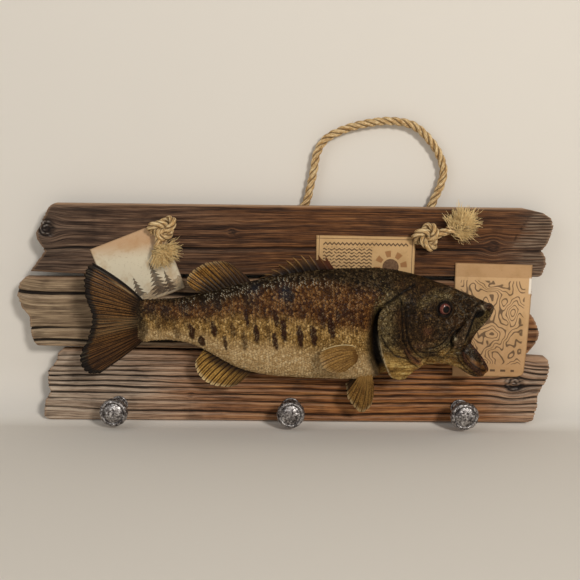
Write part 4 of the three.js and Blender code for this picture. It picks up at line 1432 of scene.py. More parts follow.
# x, z, half height, half width and strength of each dark fleck on the flank
flecks = [
    (-121, -15, 5, 3.2, 0.4), (-104.5, -13, 7, 2.6, 0.8), (-94, -23, 5, 3.2, 0.85),
    (-80, -9.5, 7, 2.9, 0.75), (-67, -24.5, 7, 2, 0.7), (-58.5, -9, 7, 2.6, 0.5),
    (-46, -21, 8.5, 2.6, 0.5), (-43, 4, 7.5, 1.9, 0.9), (-32.5, -11.5, 8.5, 2.4, 0.85),
    (-19, -12.5, 7.5, 2.1, 0.4), (-11, 5, 7.5, 2.6, 0.7), (-11.5, -20, 7.5, 2.4, 0.75),
    (-2.5, -7.5, 10.5, 2.5, 0.95), (16, -14.5, 9.7, 2.7, 0.85), (31, -14, 9.2, 3, 0.85),
    (17.5, 12.5, 5.5, 2.6, 0.4), (40.5, 4.5, 9.2, 2.6, 0.65), (50.5, -4.5, 10.3, 2.8, 0.95),
    (58, 8.7, 5.5, 2.2, 0.7), (65, 13, 5.5, 2.2, 0.55), (73, 6.5, 6.5, 2.2, 0.55),
    (84, 2.5, 6.5, 2.2, 0.45), (-29.5, 14.5, 4.5, 2.6, 0.35), (-138, -3, 6, 4.5, 0.3),
]
# wide bands under the back: x, z, half height, half width, strength
bands = [
    (-76.5, 19.5, 7, 4.5, 0.7), (-42, 24, 7, 4.5, 0.7), (-34, 21, 5, 3, 0.4), (2, 31, 7, 5.5, 0.95),
    (3.5, 21, 6, 3.4, 0.5), (-90, 16, 6, 4, 0.45), (-113, 12, 7, 4.5, 0.6), (-134, 7.5, 7, 4, 0.7),
    (-149, 8, 7, 5, 0.7), (-163, 2, 13, 2.2, 0.75), (50, 36, 6, 7, 0.35), (76, 34, 6, 6, 0.3),
    (-142, -7, 7, 2.6, 0.4), (-155, -9, 7, 2.8, 0.45), (-126, 1, 7, 3, 0.45), (-110, -4, 6, 3, 0.35),
    (-88, 2, 5, 2.6, 0.35), (-60, 12, 6, 3, 0.35),
]


def spotsOf(spots, x, z):
    # upright ragged spots
    total = np.zeros_like(x)
    shift = 0.9 * ripple(x / 5, z / 3.4, 0, 21)
    fray = 0.25 * ripple(x / 1.9, z / 2.6, 0, 22)
    for a, b, tall, wide, strength in spots:
        away = np.hypot((x - a + 0.14 * (z - b) + shift) / wide, (z - b) / tall) + fray
        total = np.maximum(total, strength * blend(1.55, 1.0, away))
    return total


def markings(x, side, z):
    # soft areas of colour by place on the fish; the materials break them up further
    wander = 2.2 * ripple(x / 9, z / 9, side / 9, 23) + 1.2 * ripple(x / 3.5, z / 3.5, side / 3.5, 24)
    back = blend(-7, 8, z - markLines["back"](x) + wander)
    back = np.maximum(back, 0.8 * blend(-153, -159.5, x + 1.1 * wander))
    # in shade towards the gill slot
    shade = 0.9 * blend(-8, 1, x - slotEdge(z) + wander) * (side > 0)
    back = np.maximum(back, shade * blend(35, 10, z) * (x < 126))
    cream = blend(11, -10, z - markLines["cream"](x) + wander)
    warm = blend(-7, 9, z - markLines["warm"](x) + 1.3 * wander) * blend(-190, -150, x)
    fleck = spotsOf(flecks, x, z) * (x < 98)
    band = spotsOf(bands, x, z) * (x < 98)
    sheen = peak(z - markLines["sheen"](x) + 1.2 * wander, 4.2)
    sheen = sheen * blend(-128, -104, x) * blend(70, 25, x)
    # a bluish sheen on the upper flank: painted reflection, which also feeds the scales' glints
    blueSheen = oval(x, z, -34, 33, 7, 8) + oval(x, z, -2, 33, 8, 9)
    marks = (back, cream, fleck * (side > 0)), (band, sheen * (side > 0), blueSheen * (side > 0)), warm
    return [np.stack(group, -1) for group in marks[:2]] + [warm]


def headMarks(x, side, z):
    def along(name, width):
        line = headLines[name] if isinstance(name, str) else name
        return peak(nearLine(x, z, line), width)

    head = np.maximum(blend(98, 103, x + 0.12 * (z + 10)), blend(105, 125, x + 0.6 * (z - 40)) * (z > 0))
    head = head * (side > 0) + blend(96, 104, x) * (side <= 0)
    flap = blend(-20, -52, z + 0.12 * (x - 125) + 3 * ripple(x / 6, z / 3, 0, 25)) * blend(163, 140, x)
    throat = blend(-36, -46, z + 2.0 * ripple(x / 7, z / 5, 0, 26)) * blend(132, 150, x) * blend(206, 190, x)
    throat = np.maximum(throat, along("throat", 5) * 0.8)
    flesh = np.maximum.reduce([
        0.8 * along([(136, -31), (141, -38), (149, -42.5)], 4.4),
        0.45 * oval(x, z, 158, -9, 6, 6),
        0.35 * oval(x, z, 154, -24, 10, 5),
        0.4 * oval(x, z, 224, 18, 5, 5),
    ])
    widths = {"preopercle": 1.1, "inner": 1.1, "opercle": 0.9, "interopercle": 0.9, "maxilla": 1.5,
              "cheek": 0.8, "noseCrease": 1.1, "folds": 0.9, "nape": 1.7, "outerLip": 1.1}
    eye = np.hypot(x - eyeAt[0] - 0.6, z - eyeAt[1])
    # dark lines along the folds, a patch behind the eye and a ring round it: painted shade in the creases
    # and hollows
    lines = [along(name, width) for name, width in widths.items()]
    lines = np.maximum.reduce(lines + [0.75 * oval(x, z, 136, 13, 7, 14), peak(eye - 8.1, 2.3)])
    # painted highlights on edges: the nose's rim, the end of the jaw bone, the underside of the throat and
    # the gill cover's lower rim
    under = [(150, -50.5), (164, -49.5), (174, -48), (186, -51), (198, -57), (208, -61)]
    rim = np.maximum.reduce([
        along(headLines["gillRim"][1:9], 1.3) * blend(-8, -38, z),
        0.6 * along("noseRim", 0.7),
        oval(x, z, 191, -15, 2, 1.7),
        0.8 * oval(x, z, 192, -31.5, 3, 1.3),
        0.6 * along(under, 1.2),
    ])
    # paler speckled skin on the gill cover, over the cheek and round the eye
    pale = np.maximum.reduce([
        0.8 * blend(126, 112, x + 0.1 * z) + 0.8 * oval(x, z, 124, 27, 9, 7),
        0.8 * peak(z + 27 - 0.04 * (x - 165) ** 2 / 4, 5) * blend(146, 156, x),
        0.75 * along([(150, 22), (166, 31), (180, 29)], 5),
    ])
    return head, flap, throat, flesh, lines, rim, np.minimum(pale, 1)


def fishColours(paint, tone):
    # tone is lighter or darker for each scale
    back, cream, fleck = paint.parts(paint.spot("flank"))
    band, blueSheen = paint.parts(paint.spot("marked"))[::2]
    mottle = paint.noise(paint.spot(), 210, 4, 0.6)
    grain = paint.noise(paint.spot(), 760, 3, 0.7)
    light = tone * 0.22 + grain * 0.7 + mottle * 0.08
    gold = paint.ramp(light, (0.3, "35220a"), (0.45, "7a5a2a"), (0.6, "b08c51"), (0.74, "d9bb82"))
    brown = paint.ramp(light, (0.3, "160903"), (0.45, "3f2107"), (0.6, "734a1f"), (0.76, "ad8249"))
    belly = paint.ramp(light, (0.28, "7d6139"), (0.45, "ab8c5e"), (0.62, "c8ad80"), (0.75, "dcc59c"))
    dark = paint.ramp(light, (0.32, "080402"), (0.47, "1f1405"), (0.61, "402f19"), (0.76, "746142"))
    colour = paint.over(
        gold,
        (paint.mark("warm"), brown),
        (cream, belly),
        # the dark back, which also carries the painted shade by the gill slot
        (back, dark),
        (band * 0.82, "130d08"),
        # painted reflection: the bluish sheen
        (blueSheen * 0.45, "1c2733"),
        ((fleck * 1.3).join("MINIMUM", 0.95), "2a1104"),
    )
    return colour, mottle, grain


def skinPaint():
    paint = Paint("fish_skin")
    tone = paint.noise(paint.spot(), 380, 2)
    pores = paint.cells(paint.spot(), 620)
    colour, mottle, grain = fishColours(paint, tone)
    head, flap, throat = paint.parts(paint.spot("headOne"))
    flesh, lines, rim = paint.parts(paint.spot("headTwo"))
    pale, mouth, mouthShadow = paint.parts(paint.spot("headThree"))
    blade, band, slotShadow = paint.parts(paint.spot("headFour"))
    broad = paint.noise(paint.spot(), 45, 3)
    specksAndGlints = paint.noise(paint.spot(), 520, 3, 0.6)
    wrinkles = paint.noise(paint.spot(), 130, 5, 0.62, 0.6)
    wrinkles = 1 - abs(wrinkles - 0.5).step(0.0, 0.035)
    wetHighlights = paint.noise(paint.spot(), 105, 4, 0.6, 1.4)
    wetHighlights = 1 - abs(wetHighlights - 0.5).step(0.0, 0.022)
    forward, height = paint.parts(paint.spot())[::2]
    light = grain * 0.42 + mottle * 0.42 + pores * 0.27
    gritty = grain.step(0.4, 0.65)
    streaks = paint.noise(paint.spot(None, (50, 50, 330)), 1, 4)
    olive = paint.ramp(light, (0.34, "060301"), (0.48, "1a0f05"), (0.61, "382610"), (0.74, "69512e"))
    paleSkin = paint.ramp(light, (0.34, "150f05"), (0.48, "3e3116"), (0.6, "675634"), (0.72, "a4966e"))
    straw = light * 0.35 + streaks * 0.65
    straw = paint.ramp(straw, (0.36, "4a2e0f"), (0.49, "8a6832"), (0.62, "bb9c5c"), (0.72, "e0cc96"))
    throatPale = paint.ramp(light * 0.5 + streaks * 0.5, (0.38, "442408"), (0.5, "85602c"), (0.64, "bfa163"))
    dark = paint.over(
        olive,
        (broad.step(0.5, 0.7) * 0.4, "3f260e"),
        (pale * (0.25 + broad), paleSkin),
        # pale specks: partly the skin's own speckling, partly painted glints
        ((specksAndGlints * (0.86 + pale * 0.14)).step(0.59, 0.66) * 0.4, "a3957a"),
        (throat * 0.9, throatPale),
        ((flap * (0.55 + streaks * 0.8)).join("MINIMUM", 0.95), straw),
        # painted highlights: fine pale lines on the snout's wet wrinkles
        (flesh * (0.5 + broad), paint.mix(gritty, "2f150b", "7f5036")),
        (wetHighlights * forward.step(0.16, 0.19) * 0.38, "8f8a7a"),
        # painted shade in the creases: dark wrinkles and the dark lines along the folds
        (wrinkles * 0.6 * (1 - flap * 0.5), "060302"),
        (lines * 0.88, "060302"),
    )
    inside = paint.ramp(light * 0.25 + broad * 0.75, (0.38, "38200b"), (0.5, "6f4820"), (0.62, "a07641"))
    roof = paint.ramp(light, (0.36, "0d0805"), (0.5, "2e2312"), (0.64, "6a5836"))
    bone = light * 0.8 + streaks * 0.2
    bone = paint.ramp(bone, (0.36, "0e0804"), (0.49, "2d2013"), (0.6, "54402b"), (0.72, "968268"))
    colour = paint.over(
        colour,
        (head, dark),
        # the roof of the mouth is painted darker than its floor: painted shade
        (mouth, paint.mix(height.step(-0.034, -0.022), inside, roof)),
        (blade * 0.95, paint.mix(height.step(-0.02, 0.002) * 0.9, bone, dark)),
        (band * 0.85, paint.mix(gritty, "1d0e07", "563422")),
        # painted shadow in the mouth's hole, clefts and lip crease
        (mouthShadow * 0.96, "050302"),
        # painted shadow deep in the gill slot
        (slotShadow * 0.97, "0b0502"),
        # painted highlights along the head's edges
        (rim * mottle.step(0.32, 0.58) * 0.75, "c4b592"),
    )
    bumps = pores * 0.5 + grain - wrinkles * 0.7
    return paint.finish(colour, 0.44 + mottle * 0.2, bumps, 0.6, Specular_IOR_Level=0.09, Coat_Weight=0.03,
                        Coat_Roughness=0.25)


def scalePaint():
    paint = Paint("fish_scales")
    tone, edge, tip = [paint.mark(name) for name in ("tone", "edge", "tip")]
    colour, mottle, grain = fishColours(paint, tone)
    back, cream = paint.parts(paint.spot("flank"))[:2]
    sheen, blueSheen = paint.parts(paint.spot("marked"))[1:]
    # dark where the scale before casts its shade, light on the free rim
    root = (1 - tip).step(0.38, 0.66) * (0.1 + 0.65 * tone) * (1 - cream * 0.45)
    rim = tip.step(0.62, 0.85) * edge.step(0.2, 0.7)
    lit = rim * tone.step(0.35, 0.9) * (1 - back * 0.7) * 0.35
    glint = (sheen + blueSheen * 0.4) * rim * (tone * 0.5 + grain * 0.65).step(0.52, 0.66)
    colour = paint.over(colour, (root, "160d06"), (lit, "d8bd8e"), (glint.join("MINIMUM", 0.88), "cfc8b2"))
    rings = (tip * 26 + edge * 9).join("SINE")
    return paint.finish(colour, 0.38 + mottle * 0.2, rings * 0.2 + grain, 0.25, Specular_IOR_Level=0.1,
                        Coat_Weight=0.035, Coat_Roughness=0.13)


def mouthMarks(spots, x, z):
    # the mouth's inside, the painted shadow in its hole and clefts, the upper jaw's blade and the band along
    # the lower lip
    line = curveThrough(bladeRoute, 60)
    widths = bladeWidth(np.linspace(0, 1, 60))
    ratio = np.full(len(spots), 9.0)
    for spot, width in zip(line[6:], widths[6:]):
        ratio = np.minimum(ratio, np.linalg.norm((spots - spot) * (1, 0.6, 1), axis=1) / max(width, 2.2))
    blade = blend(1.12, 0.85, ratio) * (spots[:, 1] < -84)
    hole = np.hypot((x - 213.8 - 0.3 * (z - 10)) / 6, (z - 10) / 5.2)
    mouthShadow = np.maximum.reduce([
        blend(1.15, 0.75, hole),
        blend(3.2, 1.6, nearLine(x, z, headLines["cleft"])) * (1 - blade),
        peak(nearLine(x, z, headLines["innerLip"]), 1.1) * 0.95,
    ])
    mouthShadow = mouthShadow * blend(-54, -62, spots[:, 1]) * (x > 190)
    band = blend(2.2, 1.2, nearLine(x, z, jawBand)) * (spots[:, 1] < -68)
    fromRim = np.min([np.linalg.norm(spots - spot, axis=1) for spot in farRim], axis=0)
    band = np.maximum(band, blend(2.8, 1.5, fromRim))
    return insideMouth(spots) * (1 - blade), mouthShadow, blade, band * (x > 194)


jawBand = [(p[0][0], p[0][2]) for p in jawStations[1:]]
farRim = curveThrough([p[1] for p in jawStations[1:]], 40)


def markSkin(mesh, spots):
    x, side, z = measure(spots)
    near = side > 0
    for name, values in zip(("flank", "marked", "warm"), markings(x, side, z)):
        addMark(mesh, name, values)
    head, flap, throat, flesh, lines, rim, pale = headMarks(x, side, z)
    normals = vertexArray(mesh)[1]
    outer = blend(0.1, -0.3, normals[:, 1])
    mouth, mouthShadow, blade, band = mouthMarks(spots, spots[:, 0], spots[:, 2])
    slot = blend(-2, -5, side - nearSide(x, z)) * (x > 86) * (x < 125) * near
    # painted shadow deep in the gill slot
    slotShadow = slot * blend(0, 6, x - slotEdge(z)) * blend(-58, -46, z)
    addMark(mesh, "headOne", np.stack([head, flap * (side > -8), throat], 1))
    lines = lines * outer * near * (1 - blade)
    addMark(mesh, "headTwo", np.stack([flesh * outer, lines, rim * outer * near], 1))
    addMark(mesh, "headThree", np.stack([pale * outer, mouth, mouthShadow], 1))
    addMark(mesh, "headFour", np.stack([blade, band, slotShadow], 1))


markSkin(skinMesh, skinSpots)
skinMesh.materials.clear()
skinMesh.shade_smooth()
piece("skin", skinMesh, skinPaint(), "fish_skin", "tail_stalk", "trunk_rear", "trunk_front", "head",
      "upper_jaw", "lower_jaw", "gill_cover")

# ---- scales

scaleLook = {
    "spacing": 3.0, "row": 3.15, "long": 1.66, "wide": 1.22, "pieces": 6, "lift": 0.5, "sink": 0.75,
    # how far along its length, and half as wide, each row of a scale's points lies
    "rows": [(0, 0.36), (0.3, 0.5), (0.55, 0.5), (0.78, 0.42), (0.92, 0.29), (1.0, 0.13)],
    "across": (-1, -0.5, 0, 0.5, 1), "thick": 0.28,
}


def scaleRoots():
    roots = []
    xs = np.arange(-165, 134, scaleLook["spacing"])
    turn = np.linspace(-math.pi, math.pi, 1441)
    draw = np.random.default_rng(51)
    for i, x in enumerate(xs):
        size = 0.62 + 0.2 * float(blend(-167, -154, x)) + 0.18 * float(blend(-150, -70, x))
        spots = bodyPoint(np.full_like(turn, x), turn, -0.2)[0]
        walked = distances(spots)
        walked -= walked[len(turn) // 2]
        gap = scaleLook["row"] * size
        stops = np.arange(math.ceil(walked[0] / gap), math.floor(walked[-1] / gap)) * gap
        stops = stops + gap * 0.5 * (i % 2)
        angles = np.interp(stops, walked, turn)
        wobble = draw.normal(size=(len(stops), 3)) * 0.26
        for angle, stop, jog in zip(angles, stops, wobble):
            roots.append((x + jog[0], angle + jog[1] * 0.01, size * (1 + 0.3 * jog[2]), stop))
    roots = np.array(roots)
    # the rows wander, so that they never read as straight lines
    roots[:, 0] += 1.5 * ripple(roots[:, 0] / 11, roots[:, 3] / 7, 0, 31) * blend(-168, -150, roots[:, 0])
    roots[:, 0] += 0.7 * ripple(roots[:, 0] / 4, roots[:, 3] / 3.4, 0, 38)
    return roots


def placeScales():
    roots = scaleRoots()
    x, angle, size, stop = roots.T
    here, side, z = bodyPoint(x, angle, -0.3)
    behind = bodyPoint(x - 1.5, angle, -0.3)[0]
    above = bodyPoint(x, angle + 0.02, -0.3)[0]
    below = bodyPoint(x, angle - 0.02, -0.3)[0]
    along = unit(behind - here)
    over = unit(above - below)
    out = unit(np.cross(along, over))
    inner = place(x, 0 * x, (backLine(x) + lowAt(x)) / 2)
    out *= np.sign(np.sum(out * (here - inner), axis=1))[:, None]
    over = np.cross(out, along)
    # none on the flat that lies on the board, in the gill slot or under the cover
    nearLimit = [-70, -60, -45, -29, -14, 5, 18, 26, 39, 52], [106, 99, 90, 87, 86, 87, 95, 106, 116, 126]
    farLimit = [-70, 0, 40, 60], [100, 100, 112, 126]
    limit = np.where(side > 0, np.interp(z, *nearLimit), np.interp(z, *farLimit))
    limit = limit + 1.6 * ripple(z / 2.4, x / 3, 0, 29)
    size = size * (1 - 0.45 * blend(9, 0, limit - x))
    start = -165.5 + 4.5 * ((z + 2) / 25) ** 2 + 1.8 * ripple(z / 2.5, 0, 0, 39)
    kept = (here[:, 1] < cardFace - 1.2) & (x - 1 < limit) & (out[:, 1] < 0.75) & (x > start)
    return [values[kept] for values in (here, along, over, out, x, size, stop)]


def scaleShapes(here, along, over, out, size):
    # every scale's points, and the grids that all scales share
    a, half = np.array(scaleLook["rows"]).T
    c = np.array(scaleLook["across"])
    bulge = 1 - 0.10 * np.abs(c) ** 2
    u = a[:, None] * bulge[None, :] ** (a[:, None] * 1.2)
    v = half[:, None] * c[None, :]
    lift = -scaleLook["sink"] + (scaleLook["sink"] + scaleLook["lift"]) * np.minimum(a / 0.62, 1) ** 0.8
    h = lift[:, None] - 0.22 * np.abs(c[None, :]) ** 2
    long = (scaleLook["spacing"] * scaleLook["long"] * size)[:, None, None, None]
    wide = (scaleLook["row"] * scaleLook["wide"] * size)[:, None, None]
    draw = np.random.default_rng(53)
    tilt = (1 + 0.4 * draw.normal(size=len(size)).clip(-1.6, 1.8))[:, None, None]
    roll = (0.17 * draw.normal(size=len(size)).clip(-2, 2))[:, None, None]
    tone = draw.random(len(size))
    here, along, over, out = [values[:, None, None] for values in (here, along, over, out)]
    # follow the body's own curve across the scale
    fall = (v[None] * wide) ** 2 / 64
    rock = v[None] * (wide * roll) * blend(0.2, 0.6, a)[None, :, None]
    top = here + along * (u[None] - 0.3)[..., None] * long + over * v[None, ..., None] * wide[..., None]
    top = top + out * (h[None] * tilt + rock - fall)[..., None]
    sheets = np.stack([top, top - out * scaleLook["thick"]], axis=1)
    edge = np.maximum(np.abs(c)[None, :] ** 2 * np.ones((len(a), 1)), blend(0.75, 1.0, u))
    return sheets.reshape(len(size), -1, 3), tone, u, v, edge, np.broadcast_to(a[:, None], u.shape)


def addScales():
    here, along, over, out, x, size, stop = placeScales()
    points, tone, u, v, edge, tip = scaleShapes(here, along, over, out, size)
    count, per = points.shape[:2]
    one = sheetFaces(*u.shape)
    found = markings(*measure(points.reshape(-1, 3)))
    marks = {key: values.reshape((count, per) + values.shape[1:])
             for key, values in zip(("flank", "marked", "warm"), found)}
    finish = scalePaint()
    for number, chosen in enumerate(np.array_split(np.argsort(x), scaleLook["pieces"]), 1):
        amount = len(chosen)
        allFaces = (one[None] + (np.arange(amount) * per)[:, None, None]).reshape(-1, 4)
        ends = {key: np.tile(grid.ravel(), 2 * amount) for key, grid in (("edge", edge), ("tip", tip))}
        own = {key: values[chosen] for key, values in marks.items()}
        mesh = makeMesh(f"scales_{number}", points[chosen], [allFaces], tone=np.repeat(tone[chosen], per),
                        **ends, **own)
        # each scale's patch lies at its root on the body's own unwrapped skin
        patch = mesh.uv_layers.new(name="OFBake")
        spotU = 0.02 + 0.96 * (x[chosen] + 170) / 320
        spotV = 0.5 + stop[chosen] / 420
        fitU = spotU[:, None] + 0.003 * (np.tile(u.ravel(), 2) - 0.5)[None]
        fitV = spotV[:, None] + 0.003 * np.tile(v.ravel(), 2)[None]
        both = np.stack([fitU.ravel(), fitV.ravel()], axis=1)
        patch.data.foreach_set("uv", both[allFaces.ravel()].ravel())
        piece(f"scales_{number}", mesh, finish, "fish_skin")
    print("scales:", count, "of", len(one) * 2, "triangles")


addScales()

# ---- eyes


def eyePaint():
    paint = Paint("eye_glass")
    iris, pupil, shade = paint.parts(paint.spot("rings"))
    veins = paint.noise(paint.spot("ray", (1.2, 1.2, 1.2)), 1.5, 4, 0.6)
    rim = pupil.step(0.53, 0.57) * (1 - pupil.step(0.6, 0.66))
    colour = paint.over(
        paint.mix(veins.step(0.4, 0.65), "48201a", "743f36"),
        (shade * 0.8, "24100d"),
        (rim * 0.3, "a87a60"),
        (iris.step(0.74, 0.84), "0b0403"),
    )
    colour = paint.mix(pupil.step(0.47, 0.53), "010101", colour)
    return paint.finish(colour, 0.3, None, Specular_IOR_Level=0.1, Coat_Weight=0.2, Coat_Roughness=0.04)


eyeFinish = eyePaint()
for side, centre in eyeCentres.items():
    out = -1 if side == "near" else 1
    # a little flatter than a ball, with the rings drawn out from its middle
    points, faces = ballForm(np.zeros(3), eyeRadius, 48, 72)
    gaze = unit(np.array([0.2, out, -0.03]))
    along = points @ gaze
    points = points - np.outer(np.maximum(along - 5.4, 0) * 0.35, gaze)
    flat = points - np.outer(points @ gaze, gaze)
    away = np.where(points @ gaze > 0, np.linalg.norm(flat, axis=1) / eyeRadius, 1.0)
    pupil = np.linalg.norm(flat - (0.8, 0, -0.2), axis=1) / eyeRadius
    shade = blend(-0.15, 0.75, (points[:, 0] - 0.7 * points[:, 2]) / eyeRadius)
    ray = np.stack([np.arctan2(points[:, 2], points[:, 0]) * 4, away * 3, 0 * away], axis=1)
    rings = np.stack([away, np.where(points @ gaze > 0, pupil, 1.0), shade], axis=1)
    mesh = makeMesh(f"eyeball_{side}", points + centre, faces, rings=rings, ray=ray)
    faceOutward(mesh)
    piece(f"eyeball_{side}", mesh, eyeFinish, "eye_glass", f"eye_{side}")
print("eyes")

# ---- fins


def onPlane(line):
    return [(x, boardFront - float(midHeight(x)), z) for x, z in line]


def onBody(line, start, end, sink):
    return onPlane([(x, float(line(x)) + sink) for x in np.linspace(start, end, 9)])


# what a fin has unless its own look says otherwise; "leave" is how its first and last ray set out
finPlain = {
    "kind": "soft", "fork": 1, "thick": (2.4, 0.8), "front": 0, "pale": 0, "pull": 1, "facing": (0, -1, 0),
}
finLooks = {
    "tail_fin": {
        "base": onPlane([(-158, 20.5), (-157, 10), (-156.5, -3), (-157, -16), (-158, -25.5)]),
        "edge": onPlane([(-210.5, 63), (-217.5, 57), (-220.5, 45), (-220.5, 34), (-218.5, 20), (-214.5, 9),
                         (-213, 0), (-215, -10.5), (-219.5, -24.5), (-225.5, -35), (-227, -46), (-224, -55),
                         (-217, -61), (-206, -61.5)]),
        "leave": ((-0.67, 0, 0.74), (-0.75, 0, -0.66)), "pull": 4, "thick": (3.8, 1.0), "rays": 25,
        "colours": ("0c0502", "110803", "321e0b", "755026"), "dark": 0.3,
    },
    "dorsal_fin_soft": {
        "base": onBody(backLine, -38, -92, -1.6),
        "edge": onPlane([(-58.8, 59.5), (-66, 63), (-74, 64), (-88.6, 62), (-100.5, 55.5), (-108.3, 47.5),
                         (-110.3, 41.5), (-107, 36)]),
        "leave": ((-0.6, 0, 0.8), (-0.88, 0, 0.47)), "thick": (2.3, 0.8), "rays": 13,
        "colours": ("190b02", "0d0602", "4d2f0d", "a2742e"), "dark": 0.6, "front": 0.6, "pale": 0.3,
    },
    "dorsal_fin_spiny": {
        "base": onBody(backLine, 55, -20, -1.6),
        "edge": onPlane([(44.5, 69.4), (38, 71), (32.2, 71.4), (22, 71.2), (12.2, 70.5), (6, 67.8),
                         (0, 64.9), (-12.2, 57.5), (-23.3, 49.5), (-31, 44)]),
        "leave": ((-0.6, 0, 0.8), (-0.65, 0, 0.76)), "rays": 9, "kind": "spiny",
        "colours": ("1c0a03", "080301", "361e09", "8a683a"), "dark": 0.62, "front": 0.4,
    },
    "anal_fin": {
        "base": onBody(bellyLine, -35, -88, 1.6),
        "edge": onPlane([(-54, -77.5), (-62, -79.8), (-74, -79.5), (-86, -76), (-96, -68), (-100.5, -59),
                         (-101, -50.5), (-97, -45)]),
        "leave": ((-0.7, 0, -0.71), (-0.95, 0, -0.3)), "thick": (2.3, 0.8), "rays": 12,
        "colours": ("2a1504", "1a0d08", "6e4e20", "b08843"), "dark": 0.5, "front": 0.45, "pale": 0.8,
    },
    "pectoral_fin": {
        "base": [(80.5, -86, -27.5), (81, -86, -35), (79, -87, -43.5)],
        "edge": [(39.5, -104.5, -26.5), (36.2, -105, -31.8), (37, -105, -38), (41.5, -104.5, -45.5),
                 (47, -103, -50.2), (56, -100.5, -53), (64.5, -98.5, -52)],
        "leave": ((-0.72, -0.45, 0.52), (-0.7, -0.5, -0.5)), "rays": 11, "kind": "smooth", "fork": 0,
        "colours": ("2c1404", "5a3c19", "5c3f1a", "a47d42"), "dark": 0.15, "pale": 0.2,
        "facing": (-0.2, -1, 0.1),
    },
    "pelvic_fin_near": {
        "base": [(83, -71, -61.5), (90, -71.5, -61), (97, -72, -60.5)],
        "edge": [(69.5, -66, -83), (71.3, -64, -91), (76, -62, -98.5), (85.5, -60, -108), (90, -60, -108),
                 (96.5, -61, -101.5), (99.8, -64, -91)],
        "leave": ((-0.45, 0, -0.89), (0.3, 0, -0.95)), "rays": 8, "kind": "smooth", "fork": 0,
        "colours": ("1c0b03", "876636", "4e3012", "9a753b"), "dark": 0.24, "pale": 0.4,
        "facing": (0.1, -1, -0.25),
    },
    # the far fin lies behind the body, so its colours are darker: painted shade
    "pelvic_fin_far": {
        "base": [(82, -48, -63.5), (90, -48, -63.5), (98, -48, -62.5)],
        "edge": [(69.5, -43, -79), (72.5, -39, -90), (80, -37, -97), (90, -37, -98), (98, -39, -94),
                 (101.5, -42, -86)],
        "leave": ((-0.5, 0.1, -0.86), (0.3, 0.1, -0.95)), "thick": (2.2, 0.8), "rays": 8, "kind": "smooth",
        "fork": 0, "colours": ("150d07", "20140b", "3a2612", "6b4c28"), "dark": 0.5, "pale": 0.5,
        "facing": (0.1, -1, -0.25),
    },
}


def finPaint(name, look, width):
    # colours: the line between two rays, the dark foot, the web and the ray
    paint = Paint(name)
    line, foot, web, bone = look["colours"]
    reach, span, ray = paint.parts(paint.spot("fin"))
    streaks = paint.noise(paint.spot("fin", (1.5, width / 1.5, 1)), 1, 3, 0.6)
    grain = paint.noise(paint.spot(), 700, 3, 0.65)
    blotch = paint.noise(paint.spot(), 110, 3)
    uneven = paint.noise(paint.spot("fin", (0.8, 17, 1)), 1, 2)
    if look["kind"] == "spiny":
        layers = [
            ((1 - ray.step(0.3, 0.8)) * (0.55 + 0.45 * blotch), web),
            (ray.step(0.5, 0.9) * 0.6, bone),
        ]
    elif look["kind"] == "soft":
        layers = [((1 - ray.step(0.15, 0.75)) * (0.45 + 0.9 * uneven).join("MINIMUM", 1), line)]
    else:
        layers = [
            ((1 - ray.step(0.0, 0.6)) * uneven.step(0.35, 0.55) * 0.8, line),
            (streaks.step(0.5, 0.62) * 0.6, line),
        ]
    layers.append((blotch.step(0.5, 0.7) * 0.3, line))
    if look["pale"]:
        rim = reach.step(0.84, 1.0) * (0.4 + grain) * look["pale"] * ray.step(0.0, 0.6)
        layers.append((rim.join("MINIMUM", 1), "d3bb8b"))
    fade = 1 - (reach + (blotch - 0.5) * 0.5).step(look["dark"] * 0.35, look["dark"] * 1.3)
    layers.append((fade * 0.9, foot))
    if look["front"]:
        first = 1 - (span + (1 - reach) * 0.15 + (blotch - 0.5) * 0.3).step(0.02, look["front"])
        layers.append((first * 0.75, "4f2714" if look["kind"] == "spiny" else "2c1a0d"))
    if name == "tail_fin":
        middle = span.step(0.38, 0.5) * (1 - span.step(0.56, 0.66)) * streaks.step(0.42, 0.6)
        inner = span.step(0.045, 0.055) * (1 - span.step(0.062, 0.075))
        inner = inner * reach.step(0.1, 0.3) * (1 - reach.step(0.4, 0.7))
        ragged = (reach + (streaks - 0.5) * 0.2).step(0.87, 0.92)
        margin = ragged.join("MAXIMUM", 1 - span.step(0.03, 0.045))
        margin = margin.join("MAXIMUM", span.step(0.965, 0.98) * 0.7)
        layers += [
            (span.step(0.55, 0.85) * 0.6, paint.mix(streaks.step(0.4, 0.65), "1a0f08", "4c2f18")),
            (middle * 0.4, "77664a"),
            (inner * 0.6, "a98f66"),
            (margin * 0.93, paint.mix(streaks.step(0.55, 0.7), "0d0907", "3f3a2c")),
        ]
    if name == "pectoral_fin":
        layers.append(((1 - span.step(0.01, 0.05)) * (0.2 + streaks), "e0ca98"))
    colour = paint.over(paint.mix((streaks * 0.6 + grain * 0.4).step(0.4, 0.6), web, bone), *layers)
    return paint.finish(colour, 0.5, streaks + grain * 0.5, 0.3, Specular_IOR_Level=0.1, Coat_Weight=0.03,
                        Coat_Roughness=0.2)


